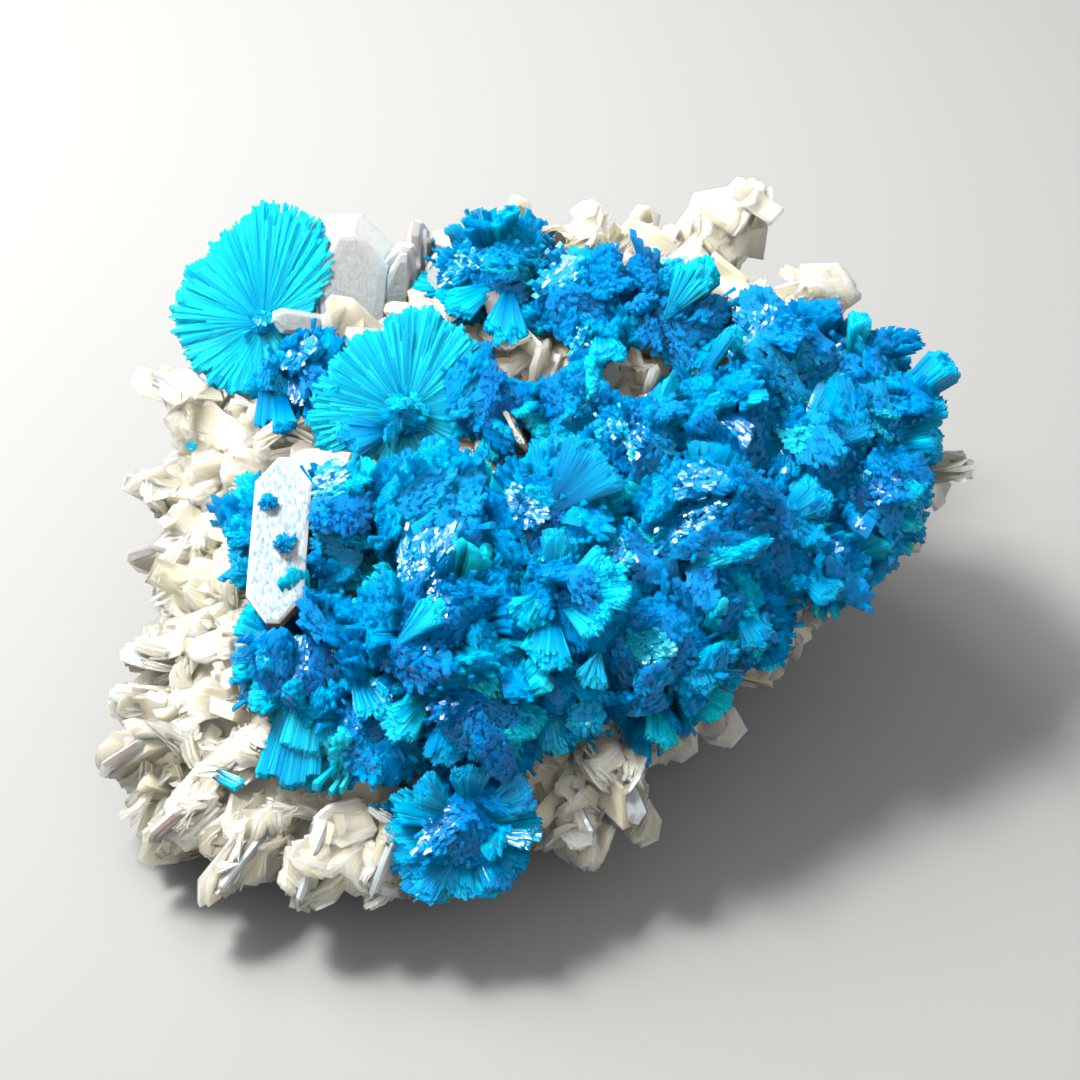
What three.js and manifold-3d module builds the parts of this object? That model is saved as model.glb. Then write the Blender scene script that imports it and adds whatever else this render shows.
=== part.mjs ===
// Cavansite on stilbite, a cabinet specimen about 84 mm wide: blue rosettes of cavansite on a block of
// cream stilbite blades, such as the cavities in basalt hold.
// Millimetres, +Z up. The origin is the middle of the flat broken foot that the specimen rests on.
// -Y is the front, where the blue crust slopes down towards the viewer, and +X is its right.
import * as THREE from 'three';
import { ConvexGeometry } from 'three/addons/geometries/ConvexGeometry.js';
import { mergeVertices } from 'three/addons/utils/BufferGeometryUtils.js';
import Module from 'manifold-3d';

const wasm = await Module();
wasm.setup();

const { degToRad, radToDeg, lerp, smoothstep, euclideanModulo } = THREE.MathUtils;

// ---- Driving dimensions -------------------------------------------------------------------------

const GAP = 0.3; // clearance between two minerals that touch
const GOLDEN_ANGLE = degToRad(137.508); // turn between neighbours in an even spread over a dome

// The block's outline at stations round the foot: bearing in degrees, anticlockwise from +X, radius of
// the rim, heights of the rim's upper and lower edges, and radius of the foot.
const STATIONS = [
  { bearing: -165, rim: 39, top: 9, under: 4, foot: 31 },
  { bearing: -150, rim: 43, top: 7, under: 3, foot: 33 },
  { bearing: -135, rim: 42, top: 6, under: 3, foot: 32 },
  { bearing: -120, rim: 36, top: 6, under: 3, foot: 28 },
  { bearing: -105, rim: 32, top: 8, under: 4, foot: 24 },
  { bearing: -90, rim: 28, top: 10, under: 6, foot: 19 },
  { bearing: -75, rim: 25, top: 12, under: 8, foot: 16 },
  { bearing: -58, rim: 22, top: 14, under: 9, foot: 14 },
  { bearing: -42, rim: 23, top: 16, under: 10, foot: 14 },
  { bearing: -28, rim: 25, top: 19, under: 12, foot: 15 },
  { bearing: -12, rim: 29, top: 22, under: 14, foot: 17 },
  { bearing: 3, rim: 34.5, top: 26, under: 16, foot: 19 },
  { bearing: 14, rim: 36, top: 28, under: 15, foot: 23 },
  { bearing: 30, rim: 32, top: 30, under: 12, foot: 25 },
  { bearing: 48, rim: 32, top: 31, under: 8, foot: 27 },
  { bearing: 62, rim: 35, top: 31, under: 6, foot: 29 },
  { bearing: 80, rim: 32, top: 31, under: 5, foot: 27 },
  { bearing: 105, rim: 30, top: 31, under: 5, foot: 26 },
  { bearing: 122, rim: 30, top: 30, under: 6, foot: 26 },
  { bearing: 138, rim: 34, top: 29, under: 6, foot: 28 },
  { bearing: 152, rim: 37, top: 24, under: 6, foot: 31 },
  { bearing: 166, rim: 40, top: 16, under: 5, foot: 33 },
  { bearing: 180, rim: 38, top: 12, under: 4, foot: 32 },
];
// The plateau that carries the crust rises towards the back and a little towards the right.
const PLATEAU = { height: 25, riseX: 0.05, riseY: 0.22, ends: 0.55 };
const LUMPS = 0.8; // how far the broken rock stands out of its even form

// ---- Chance, the same at each build -------------------------------------------------------------

// A seeded stream of numbers from 0 to 1.
function chance(seed) {
  let state = seed >>> 0;
  return () => {
    state = (state + 0x6d2b79f5) >>> 0;
    let t = state;
    t = Math.imul(t ^ (t >>> 15), t | 1);
    t ^= t + Math.imul(t ^ (t >>> 7), t | 61);
    return ((t ^ (t >>> 14)) >>> 0) / 4294967296;
  };
}

const between = (draw, low, high) => low + (high - low) * draw();

// ---- Solids -------------------------------------------------------------------------------------

function solidOf(geometry) {
  const bare = geometry.clone();
  bare.deleteAttribute('normal');
  bare.deleteAttribute('uv');
  const merged = mergeVertices(bare, 1e-4);
  return new wasm.Manifold(new wasm.Mesh({
    numProp: 3,
    vertProperties: new Float32Array(merged.attributes.position.array),
    triVerts: new Uint32Array(merged.index.array),
  }));
}

const hull = (points) => solidOf(new ConvexGeometry(points));
const joined = (solids) => solids.reduce((sum, solid) => sum.add(solid));
const cutBy = (solid, cutters) => cutters.reduce((left, cutter) => left.subtract(cutter), solid);

// The largest body of a solid: crumbs that a cut leaves loose are dropped.
function largestBody(solid) {
  return solid.decompose().reduce((best, body) => (body.volume() > best.volume() ? body : best));
}

function meshOf(name, solid, material) {
  const made = solid.getMesh();
  const positions = new Float32Array(made.numVert * 3);
  for (let i = 0; i < made.numVert; i += 1) {
    const start = i * made.numProp;
    positions.set(made.vertProperties.subarray(start, start + 3), i * 3);
  }
  const geometry = new THREE.BufferGeometry();
  geometry.setAttribute('position', new THREE.BufferAttribute(positions, 3));
  geometry.setIndex(new THREE.BufferAttribute(new Uint32Array(made.triVerts), 1));
  geometry.computeVertexNormals();
  const mesh = new THREE.Mesh(geometry, material);
  mesh.name = name;
  return mesh;
}

// Two directions across a third one, turned about it by roll.
function across(along, roll) {
  const helper = Math.abs(along.z) < 0.9 ? new THREE.Vector3(0, 0, 1) : new THREE.Vector3(1, 0, 0);
  const side = new THREE.Vector3().crossVectors(helper, along).normalize();
  side.applyAxisAngle(along, roll);
  return [side, new THREE.Vector3().crossVectors(along, side)];
}

// ---- The stilbite block -------------------------------------------------------------------------

// A station value at any bearing, between the two stations beside it.
function outline(bearing, key) {
  const turn = euclideanModulo(bearing + 180, 360) - 180;
  const after = STATIONS.findIndex((station) => station.bearing >= turn);
  const next = STATIONS[after < 0 ? 0 : after];
  const last = STATIONS[(after <= 0 ? STATIONS.length : after) - 1];
  const span = euclideanModulo(next.bearing - last.bearing, 360);
  return lerp(last[key], next[key], euclideanModulo(turn - last.bearing, 360) / span);
}

// Height of the block's upper surface over a point of the plan.
function topHeight(x, y) {
  const bearing = radToDeg(Math.atan2(y, x));
  const reach = Math.hypot(x, y) / outline(bearing, 'rim');
  const plateau = PLATEAU.height + PLATEAU.riseX * x + PLATEAU.riseY * y;
  return lerp(plateau, outline(bearing, 'top'), smoothstep(reach, PLATEAU.ends, 1));
}

// Which way the upper surface faces over a point of the plan.
function topFacing(x, y) {
  const step = 1.5;
  const slopeX = (topHeight(x + step, y) - topHeight(x - step, y)) / (2 * step);
  const slopeY = (topHeight(x, y + step) - topHeight(x, y - step)) / (2 * step);
  return new THREE.Vector3(-slopeX, -slopeY, 1).normalize();
}

// The massive stilbite under the blades: rings of points from the middle of the top, over the rim and
// down to the flat foot. grow moves the whole surface outwards.
function core(grow = 0) {
  const columns = 20;
  const topRings = [0.64, 0.86, 1];
  const draw = chance(11);
  const lump = () => between(draw, -LUMPS, LUMPS);
  const points = [new THREE.Vector3(0, 0, topHeight(0, 0) + grow)];
  const ring = (radiusAt, heightAt, rough) => {
    for (let i = 0; i < columns; i += 1) {
      const bearing = (360 * i) / columns - 180;
      const turn = degToRad(bearing);
      const radius = radiusAt(bearing) + grow + rough * lump();
      const x = radius * Math.cos(turn);
      const y = radius * Math.sin(turn);
      points.push(new THREE.Vector3(x, y, heightAt(bearing, x, y) + rough * lump()));
    }
  };
  for (const share of topRings) {
    ring((b) => share * outline(b, 'rim'), (b, x, y) => topHeight(x, y) + grow, 1);
  }
  const waist = (b) => (outline(b, 'top') + outline(b, 'under')) / 2;
  ring((b) => 1.02 * outline(b, 'rim'), waist, 1.5);
  ring((b) => 0.94 * outline(b, 'rim'), (b) => outline(b, 'under') - grow, 1);
  ring((b) => outline(b, 'foot'), () => -grow, 0);
  points.push(new THREE.Vector3(-12, 2, -grow)); // beside the origin, which then lies inside one facet

  const rings = topRings.length + 3;
  const last = points.length - 1;
  const index = [];
  for (let i = 0; i < columns; i += 1) {
    const j = (i + 1) % columns;
    index.push(0, 1 + i, 1 + j);
    for (let k = 0; k < rings - 1; k += 1) {
      const inner = 1 + k * columns;
      const outer = inner + columns;
      index.push(inner + i, outer + i, outer + j, inner + i, outer + j, inner + j);
    }
    const foot = 1 + (rings - 1) * columns;
    index.push(last, foot + j, foot + i);
  }
  const geometry = new THREE.BufferGeometry().setFromPoints(points);
  geometry.setIndex(index);
  return solidOf(geometry);
}

// A stilbite blade: a thin tablet rooted at root and pointing along. Its end is a slanting point, or
// flat for a share of the width between two bevels.
function blade({ root, along, roll, length, width, thick, flat }, grow = 0) {
  const [side, face] = across(along, roll);
  const half = width / 2 + grow;
  const shoulder = Math.max(0.3 * length, length - 0.5 * width) + grow;
  const end = flat
    ? [[half, shoulder], [flat * half, length + grow], [-flat * half, length + grow], [-half, shoulder]]
    : [[half, shoulder], [-0.3 * half, length + grow]];
  const profile = [[-half, -grow], [half, -grow], ...end];
  const points = [];
  for (const [sideways, forward] of profile) {
    for (const through of [-thick / 2 - grow, thick / 2 + grow]) {
      points.push(root.clone().addScaledVector(side, sideways)
        .addScaledVector(along, forward).addScaledVector(face, through));
    }
  }
  return hull(points);
}

// A direction given by its bearing and its rise over the level, in degrees.
function heading(bearing, rise) {
  const turn = degToRad(bearing);
  const up = degToRad(rise);
  return new THREE.Vector3(
    Math.cos(up) * Math.cos(turn), Math.cos(up) * Math.sin(turn), Math.sin(up));
}

// The larger blades that stand out singly along the edges: place of the root, bearing and rise, roll in
// degrees, and length, width and thickness.
const SINGLE_BLADES = [
  // left edge, from back to front
  { at: [-33, 15.5, 19], bearing: 160, rise: 35, roll: 60, size: [9, 5, 1.6] },
  { at: [-35.5, 8.5, 13.5], bearing: 172, rise: 25, roll: 70, size: [8.5, 4.6, 1.5] },
  { at: [-37, 2, 12], bearing: 178, rise: 20, roll: 80, size: [5, 4.5, 1.4] },
  { at: [-36, -8, 9.5], bearing: 188, rise: 15, roll: 20, size: [5.5, 5, 1.3] },
  { at: [-35, -13, 8.5], bearing: 182, rise: 12, roll: 5, size: [7, 2.4, 1.8] },
  { at: [-36, -19, 8], bearing: 205, rise: 10, roll: 75, size: [6, 6.5, 2] },
  // front edge, from left to right
  { at: [-32, -25, 7], bearing: 222, rise: 2, roll: 70, size: [5.5, 6, 1.8] },
  { at: [-26, -28, 7], bearing: 240, rise: -6, roll: 60, size: [7, 5, 1.8] },
  { at: [-20, -29, 8], bearing: 255, rise: -8, roll: 80, size: [7.5, 6, 2] },
  { at: [-14, -29, 9], bearing: 262, rise: -4, roll: 70, size: [7, 6.5, 2.2] },
  { at: [2, -25, 9], bearing: 292, rise: -12, roll: 75, size: [7, 4.6, 1.8] },
  { at: [4, -22, 12], bearing: 303, rise: -8, roll: 70, size: [9, 4.8, 2.6] },
  // right tip and the back edge, from right to left
  { at: [33, 3, 23.5], bearing: 2, rise: 14, roll: 15, size: [8, 2.6, 1.2] },
  { at: [25, 19, 29], bearing: 30, rise: 45, roll: 80, size: [7, 5, 3] },
  { at: [19, 30, 29], bearing: 52, rise: 50, roll: 70, size: [9.5, 3.6, 2.8] },
  { at: [16, 30, 29], bearing: 80, rise: 55, roll: 65, size: [7, 5, 1.8] },
  { at: [11, 31, 29], bearing: 95, rise: 60, roll: 20, size: [6, 4, 1.6] },
  { at: [5, 30, 29], bearing: 90, rise: 65, roll: 75, size: [6.5, 2.4, 1.8] },
  { at: [-3, 29, 29], bearing: 95, rise: 62, roll: 80, size: [7, 5.5, 1.8] },
  { at: [-9, 27, 29], bearing: 120, rise: 60, roll: 70, size: [6, 4, 1.5] },
];

function singleBlade({ at, bearing, rise, roll, size: [length, width, thick], flat }) {
  const root = new THREE.Vector3(...at);
  return { root, along: heading(bearing, rise), roll: degToRad(roll), length, width, thick, flat };
}

// Smaller blades all over the bare top, in an even spiral, leaning outwards.
function topBlades() {
  const draw = chance(21);
  const count = 160;
  const made = [];
  for (let i = 0; i < count; i += 1) {
    const turn = i * GOLDEN_ANGLE;
    const radius = Math.sqrt((i + 20) / (count + 20)) * outline(radToDeg(turn), 'rim');
    const x = radius * Math.cos(turn);
    const y = radius * Math.sin(turn);
    const sway = [between(draw, -0.5, 0.5), between(draw, -0.5, 0.5)];
    const along = topFacing(x, y);
    along.x += 0.5 * Math.cos(turn) + sway[0];
    along.y += 0.5 * Math.sin(turn) + sway[1];
    along.normalize();
    const length = between(draw, 4.5, 7);
    const width = between(draw, 3.5, 6);
    const thick = between(draw, 1.1, 2);
    const roll = between(draw, 0, Math.PI);
    const root = new THREE.Vector3(x, y, topHeight(x, y)).addScaledVector(along, -0.55 * length);
    if (!isCovered(x, y)) {
      made.push({ root, along, roll, length, width, thick });
    }
  }
  return made;
}

// Blades round the side of the block, in rows between the rim and the foot.
function sideBlades() {
  const draw = chance(22);
  const perRow = 12;
  const made = [];
  for (const [share, rise] of [[0.8, 25], [0.45, 5], [0.15, -10]]) {
    for (let i = 0; i < perRow; i += 1) {
      const bearing = (360 * (i + between(draw, 0.1, 0.9))) / perRow + 180 * share;
      const height = lerp(outline(bearing, 'under'), outline(bearing, 'top'), share);
      const along = heading(bearing + between(draw, -25, 25), rise + between(draw, -20, 20));
      const length = between(draw, 5.5, 8.5);
      const reach = 0.98 * outline(bearing, 'rim');
      const root = heading(bearing, 0).multiplyScalar(reach).addScaledVector(along, -0.6 * length);
      root.z += height;
      const roll = between(draw, 0, Math.PI);
      made.push({ root, along, roll, length, width: between(draw, 4, 7.5), thick: between(draw, 1.6, 2.8) });
    }
  }
  return made;
}

// ---- Clear crystals -----------------------------------------------------------------------------

// The clear tablet with two pointed ends that lies on the crust: its two tips, width and thickness.
const TABLET = { tips: [[-24.3, -0.4, 29.2], [-24.8, -15.5, 22.2]], width: 5.2, thick: 2.4, arrow: 2.6 };

function tabletSolid({ tips, width, thick, arrow }) {
  const [top, bottom] = tips.map((tip) => new THREE.Vector3(...tip));
  const along = top.clone().sub(bottom);
  const length = along.length();
  along.normalize();
  const [side, face] = across(along, 0);
  const points = [];
  for (const [sideways, forward] of [
    [-0.25, 0], [0.25, 0], [-0.5, arrow / length], [0.5, arrow / length],
    [-0.5, 1 - arrow / length], [0.5, 1 - arrow / length], [-0.25, 1], [0.25, 1]]) {
    for (const through of [-0.5, 0.5]) {
      points.push(bottom.clone().addScaledVector(side, sideways * width)
        .addScaledVector(along, forward * length).addScaledVector(face, through * thick));
    }
  }
  return hull(points);
}

// The clear crystals behind the fan rosette, the last one a thin blade that lies over it. Fields as in
// SINGLE_BLADES, with the flat share of each end.
const CLEAR_BLADES = [
  { at: [-19.2, 19.5, 27.5], bearing: 92, rise: 45, roll: 0, size: [13.2, 10.4, 3.4], flat: 0.42 },
  { at: [-15.5, 21, 28], bearing: 80, rise: 50, roll: 25, size: [9, 5, 3], flat: 0.3 },
  { at: [-11.5, 21.5, 28], bearing: 70, rise: 45, roll: -15, size: [8, 4.5, 2.6], flat: 0.4 },
  { at: [-12.5, 26, 28.5], bearing: 92, rise: 60, roll: 60, size: [8, 3.4, 2.6], flat: 0.3 },
  { at: [-18.6, 19.4, 29], bearing: 180, rise: 10, roll: -45, size: [9, 2.6, 0.9], flat: 0.6 },
];

// The small blue needles that lie loose among the blades: both ends and the width.
const NEEDLES = [
  { name: 'cavansite_needle_front', from: [-31.6, -23.2, 10.9], to: [-28.1, -25.2, 10.6], width: 1.3 },
  { name: 'cavansite_needle_left', from: [-36.4, 10.8, 21.2], to: [-35.3, 10.2, 21.2], width: 0.9 },
];

function needleSolid({ from, to, width }) {
  const start = new THREE.Vector3(...from);
  const along = new THREE.Vector3(...to).sub(start);
  const length = along.length();
  along.normalize();
  const [side, face] = across(along, 0);
  const points = [];
  for (const [sideways, through] of [[-1, -1], [1, -1], [1, 1], [-1, 1]]) {
    for (const forward of [0, length]) {
      points.push(start.clone().addScaledVector(side, sideways * width / 2)
        .addScaledVector(along, forward).addScaledVector(face, through * width / 2));
    }
  }
  return hull(points);
}

// ---- The cavansite ------------------------------------------------------------------------------

// A rosette is a burst of bundles of thin laths from one heart. Each row: the heart, the radius, and
// how the rosette's axis leans from +Z towards +X and +Y.
const CRUST = [
  { at: [3.5, 8.6, 27], radius: 6.2, lean: [0, -0.1] },
  { at: [9.4, 3.6, 25.8], radius: 6.4, lean: [0, -0.2] },
  { at: [0, -4.5, 24.1], radius: 7.6, lean: [0, -0.3] },
  { at: [19, 6, 26.8], radius: 6.5, lean: [0, -0.2] },
  { at: [25, 12, 29], radius: 6.5, lean: [0.1, 0] },
  { at: [31.5, 12, 29.3], radius: 5.2, lean: [0.5, 0.2] },
  { at: [34, 6.5, 27.5], radius: 5, lean: [0.9, 0] },
  { at: [27, 3.5, 26.8], radius: 6, lean: [0.1, -0.3] },
  { at: [32.3, -0.8, 24.6], radius: 5.4, lean: [0.6, -0.5] },
  { at: [15.3, -4, 24.5], radius: 7.5, lean: [0, -0.2] },
  { at: [-10.5, -4.5, 23.3], radius: 7.8, lean: [-0.1, -0.2] },
  { at: [-19.5, -3.5, 22.5], radius: 7, lean: [-0.4, -0.2] },
  { at: [-26, -2, 21.5], radius: 4.5, lean: [-0.9, 0] },
  { at: [-21, -15.5, 18], radius: 7, lean: [-0.5, -0.6] },
  { at: [-9, -15, 21.2], radius: 8.2, lean: [-0.1, -0.4] },
  { at: [-4.6, -21.5, 16.5], radius: 7, lean: [0, -1.3] },
  { at: [4, -13.5, 21.5], radius: 7, lean: [0.2, -0.5] },
  { at: [10.5, -16, 17], radius: 7.5, lean: [0.2, -0.8] },
  { at: [15.6, -10.5, 20.5], radius: 5.5, lean: [0.3, -0.6] },
  { at: [23, -5.5, 22.5], radius: 5.5, lean: [0.4, -0.5] },
  { at: [28, -7, 21.5], radius: 4.2, lean: [0.7, -0.8] },
  { at: [20, -13, 18.5], radius: 3.8, lean: [0.7, -0.9] },
  { at: [-15, -21.5, 15.5], radius: 5.5, lean: [-0.2, -1.2] },
  { at: [4.6, 14.6, 28.6], radius: 5.6, lean: [0, 0] },
  { at: [-4.2, 9.4, 27.6], radius: 5.4, lean: [-0.1, -0.1] },
  { at: [26.5, -1.6, 24.6], radius: 4.6, lean: [0.2, -0.5] },
  { at: [8.6, -8.2, 23], radius: 5, lean: [0.1, -0.4] },
  { at: [2, -19.5, 17.5], radius: 4.8, lean: [0.1, -1] },
  { at: [-4, 25, 29.8], radius: 7.4, lean: [-0.1, -0.1] },
  { at: [5.5, 20.5, 29.3], radius: 7, lean: [0, -0.1] },
  { at: [12.4, 18.2, 29.2], radius: 7, lean: [0.2, 0] },
  { at: [-24, 14.6, 26], radius: 5, lean: [-0.2, -0.4] },
];
const FRONT_ROSETTE = { at: [-7, -29.5, 9.5], radius: 7.6, lean: [0, -1.2], bundles: 12 };

// The two rosettes that grew as discs: heart, radius, lean, number of blades round the disc, half its
// thickness at the rim and at the valleys between the blades, and how far its middle is domed. Towards
// the direction given by long, in radians from its lower right, it reaches further by the share lopsided.
const FAN_DISC = {
  at: [-28, 22, 30.5], radius: 10, lean: [-0.25, -0.9], blades: 15,
  rim: 0.9, valley: 1.4, rise: 3, long: 2.1, lopsided: 0.2,
};
const CENTRE_DISC = {
  at: [-13.4, 8.3, 27.4], radius: 9.3, lean: [0, -0.75], blades: 14,
  rim: 1.1, valley: 1.9, rise: 4, long: 1.9, lopsided: 0.17,
};

// Bundles that stand out of their rosettes: root, tip and width.
const CRUST_BRUSHES = [
  { root: [-21.5, -18.5, 18.5], tip: [-22.5, -25.5, 11.4], width: 3.4 },
  { root: [-20, -19, 18.5], tip: [-20, -25, 12.4], width: 2.6 },
  { root: [-6, -21.5, 18], tip: [-8.5, -26, 14.2], width: 3 },
  { root: [-4.6, -21.5, 18], tip: [-3.3, -26.3, 14], width: 3 },
  { root: [34, 6.5, 29], tip: [39.8, 8.5, 34], width: 3.6 },
  { root: [33.5, 5, 28], tip: [39.2, 5.6, 31], width: 3.2 },
  { root: [33, 4, 27], tip: [38.6, 2.6, 29], width: 3 },
  { root: [30.6, 11.8, 31], tip: [31.6, 13.4, 35.8], width: 3 },
  { root: [1.5, -3, 25], tip: [6, -0.5, 31.5], width: 4.4 },
  { root: [4.6, -14, 23.5], tip: [10.4, -14.6, 28.4], width: 3.2 },
  { root: [15, 8.5, 28], tip: [19, 11, 35.5], width: 1.8 },
  { root: [13.5, 18.5, 31], tip: [17, 19.8, 37.5], width: 3.6 },
  { root: [-27.5, 15, 28], tip: [-27.4, 9.5, 24.5], width: 2.6 },
  { root: [-23.5, 14, 25], tip: [-27, 21, 29], width: 4 },
  { root: [-13.2, 7, 28.5], tip: [-24, 12, 27.5], width: 4.5 },
];

// A domed rosette: its number of bundles, how far from its axis they reach in degrees, and how far out
// the valleys between them lie as a share of its radius.
const DOME = { count: 8, spread: 86, valley: 0.68 };
// The corners of a bundle's slanting end: sideways and through as shares of half its width, and forward
// as a share of its length.
const BUNDLE_END = [[1, 0.72, 1], [-1, 0.72, 1], [-1, -0.72, 0.88], [1, -0.72, 0.88]];
const CROWDED = 0.94; // bundles end where they would come this deep into the next rosette

const everyRosette = [...CRUST, FRONT_ROSETTE, FAN_DISC, CENTRE_DISC];
const isCovered = (x, y) => everyRosette.some(
  ({ at, radius }) => Math.hypot(x - at[0], y - at[1]) < 0.95 * radius);

function axisFrame(lean) {
  const axis = new THREE.Vector3(lean[0], lean[1], 1).normalize();
  return [axis, ...across(axis, 0)];
}

function bundle({ at, radius }, [axis, side, front], tilt, turn, reach, width, draw) {
  const along = axis.clone().multiplyScalar(Math.cos(tilt))
    .addScaledVector(side, Math.sin(tilt) * Math.cos(turn))
    .addScaledVector(front, Math.sin(tilt) * Math.sin(turn));
  const length = radius * reach * between(draw, 0.88, 1.1);
  return { heart: new THREE.Vector3(...at), along, length, width, roll: between(draw, 0, Math.PI) };
}

// The bundles of a domed rosette: an even spread of directions over the dome, and one more to close it
// underneath. A bundle that would end inside the block or in the next rosette stays short and blunt.
function domeBundles(rosette, seed) {
  const draw = chance(seed);
  const frame = axisFrame(rosette.lean);
  const lowest = Math.cos(degToRad(DOME.spread));
  const short = DOME.valley * rosette.radius;
  const count = rosette.bundles ?? (rosette.radius < 5.2 ? 7 : DOME.count);
  const ends = Array.from({ length: count }, (_, i) => {
    const tilt = Math.acos(lerp(1, lowest, (i + 0.5) / count)) + between(draw, -0.05, 0.05);
    const turn = i * GOLDEN_ANGLE + between(draw, -0.08, 0.08);
    const width = rosette.radius * Math.sqrt(8 / count) * between(draw, 0.56, 0.7);
    const end = bundle(rosette, frame, tilt, turn, 1, width, draw);
    return isFree(end, rosette) ? end : { ...end, length: short, width: 0 };
  });
  const under = { along: frame[0].clone().negate(), length: short, width: 0, roll: 0 };
  return [...ends, { heart: ends[0].heart, ...under }];
}

// A disc rosette as one closed body: flat blades side by side round the domed heart, with clefts
// between them from half the radius outwards.
function discSolid({ at, radius, lean, blades: count, rim, valley, rise, long, lopsided }, seed, grow = 0) {
  const draw = chance(seed);
  const [axis, side, front] = axisFrame(lean);
  const points = [];
  const add = (turn, reach, height) => points.push(axis.clone().multiplyScalar(height)
    .addScaledVector(side, reach * Math.cos(turn)).addScaledVector(front, reach * Math.sin(turn)));
  add(0, 0, rise + grow);
  add(0, 0, -rise - grow);
  const step = (2 * Math.PI) / count;
  for (let i = 0; i < count; i += 1) {
    const cleft = (i - 0.5) * step;
    add(cleft, 0.5 * radius + grow, valley + grow);
    add(cleft, 0.5 * radius + grow, -valley - grow);
    const wider = 1 + lopsided * Math.cos(i * step - long);
    const reach = radius * wider * between(draw, 0.9, 1.06) + grow;
    const skew = between(draw, 0.93, 1.07);
    const lift = between(draw, -1, 1);
    const spread = between(draw, 0.34, 0.44) * step + grow / radius;
    for (const [sign, length] of [[-1, reach], [1, reach * skew]]) {
      add(i * step + sign * spread, length, lift + rim + grow);
      add(i * step + sign * spread, length, lift - rim - grow);
    }
  }
  const index = [];
  for (let i = 0; i < count; i += 1) {
    const [v, w, a, b, c, d] = [0, 1, 2, 3, 4, 5].map((k) => 2 + 6 * i + k);
    const next = 2 + 6 * ((i + 1) % count);
    index.push(0, v, a, 0, a, c, 0, c, next); // upper side
    index.push(1, b, w, 1, d, b, 1, next + 1, d); // lower side
    index.push(v, w, b, v, b, a, a, b, d, a, d, c, c, d, next + 1, c, next + 1, next); // edges
  }
  const geometry = new THREE.BufferGeometry().setFromPoints(points);
  geometry.setIndex(index);
  return solidOf(geometry.translate(...at));
}

function brushBundle({ root, tip, width }) {
  const heart = new THREE.Vector3(...root);
  const along = new THREE.Vector3(...tip).sub(heart);
  return { heart, length: along.length(), along: along.normalize(), width, roll: 0 };
}

// One bundle of laths: a four-sided wedge, narrow at the heart, with a slanting end.
function bundleSolid({ heart, along, length, width, roll }, grow = 0) {
  const [side, face] = across(along, roll);
  const half = width / 2 + grow;
  const deep = 0.36 * width + grow;
  const point = (sideways, forward, through) => heart.clone().addScaledVector(side, sideways)
    .addScaledVector(along, forward).addScaledVector(face, through);
  return hull([
    point(0, -0.12 * length - grow, 0),
    point(-half, 0.86 * length + grow, -deep),
    point(half, 0.86 * length + grow, -deep),
    point(half, length + grow, deep),
    point(-half, length + grow, deep),
  ]);
}

// The triples of directions that are neighbours round a sphere: no other direction lies beyond them.
function neighbourTriples(directions) {
  const triples = [];
  const count = directions.length;
  const isOuter = (i, j, k) => {
    const from = (d) => d.clone().sub(directions[i]);
    const normal = from(directions[j]).cross(from(directions[k]));
    const sides = directions.map((d) => Math.sign(Math.round(1e6 * normal.dot(from(d)))));
    return !(sides.includes(1) && sides.includes(-1));
  };
  for (let i = 0; i < count; i += 1) {
    for (let j = i + 1; j < count; j += 1) {
      for (let k = j + 1; k < count; k += 1) {
        if (isOuter(i, j, k)) {
          triples.push([i, j, k]);
        }
      }
    }
  }
  return triples;
}

// The band of triangles between an outer ring and an inner one, both running anticlockwise, each a list
// of points by number with the angle they lie at.
function band(outer, inner) {
  const index = [];
  let from = outer.at(-1).id;
  let to = inner.at(-1).id;
  const steps = [...outer.map((p) => ({ ...p, isOuter: true })), ...inner];
  for (const step of steps.sort((p, q) => p.angle - q.angle)) {
    if (step.id !== to) {
      index.push(from, step.id, to);
    }
    if (step.isOuter) {
      from = step.id;
    } else {
      to = step.id;
    }
  }
  return index;
}

// A domed rosette as one closed body: each bundle widens from its own cell of the dome to a slanting
// end with four corners, and the cells meet in valleys.
function domeSolid({ at, radius }, ends, grow = 0) {
  const triples = neighbourTriples(ends.map((end) => end.along));
  const points = triples.map((triple) => triple
    .reduce((sum, i) => sum.add(ends[i].along), new THREE.Vector3())
    .setLength(DOME.valley * radius + grow));
  const index = [];
  ends.forEach(({ along, length, width, roll }, i) => {
    const [side, face] = across(along, roll);
    const angleOf = (id) => Math.atan2(points[id].dot(face), points[id].dot(side));
    const ring = (ids) => ids.map((id) => ({ id, angle: angleOf(id) })).sort((p, q) => p.angle - q.angle);
    const half = width / 2 + grow;
    const corners = width > 0 ? BUNDLE_END : [[0, 0, 1]];
    const first = points.length;
    for (const [sideways, through, forward] of corners) {
      points.push(along.clone().multiplyScalar(forward * length + grow)
        .addScaledVector(side, sideways * half).addScaledVector(face, through * half));
    }
    const cell = triples.flatMap((triple, id) => (triple.includes(i) ? [id] : []));
    if (width > 0) {
      index.push(first, first + 1, first + 2, first, first + 2, first + 3);
    }
    index.push(...band(ring(cell), ring(corners.map((corner, k) => first + k))));
  });
  const geometry = new THREE.BufferGeometry().setFromPoints(points);
  geometry.setIndex(index);
  return solidOf(geometry.translate(...at));
}

// Whether a bundle ends in the open, clear of the other rosettes and of the block.
function isFree({ heart, along, length }, own) {
  const tip = heart.clone().addScaledVector(along, length);
  const { x, y, z } = tip;
  const crowded = everyRosette.some(({ at, radius }) => (
    at !== own.at && tip.distanceTo(new THREE.Vector3(...at)) < CROWDED * radius));
  const overBlock = Math.hypot(x, y) < outline(radToDeg(Math.atan2(y, x)), 'rim');
  return !crowded && (!overBlock || z > topHeight(x, y));
}

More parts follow.
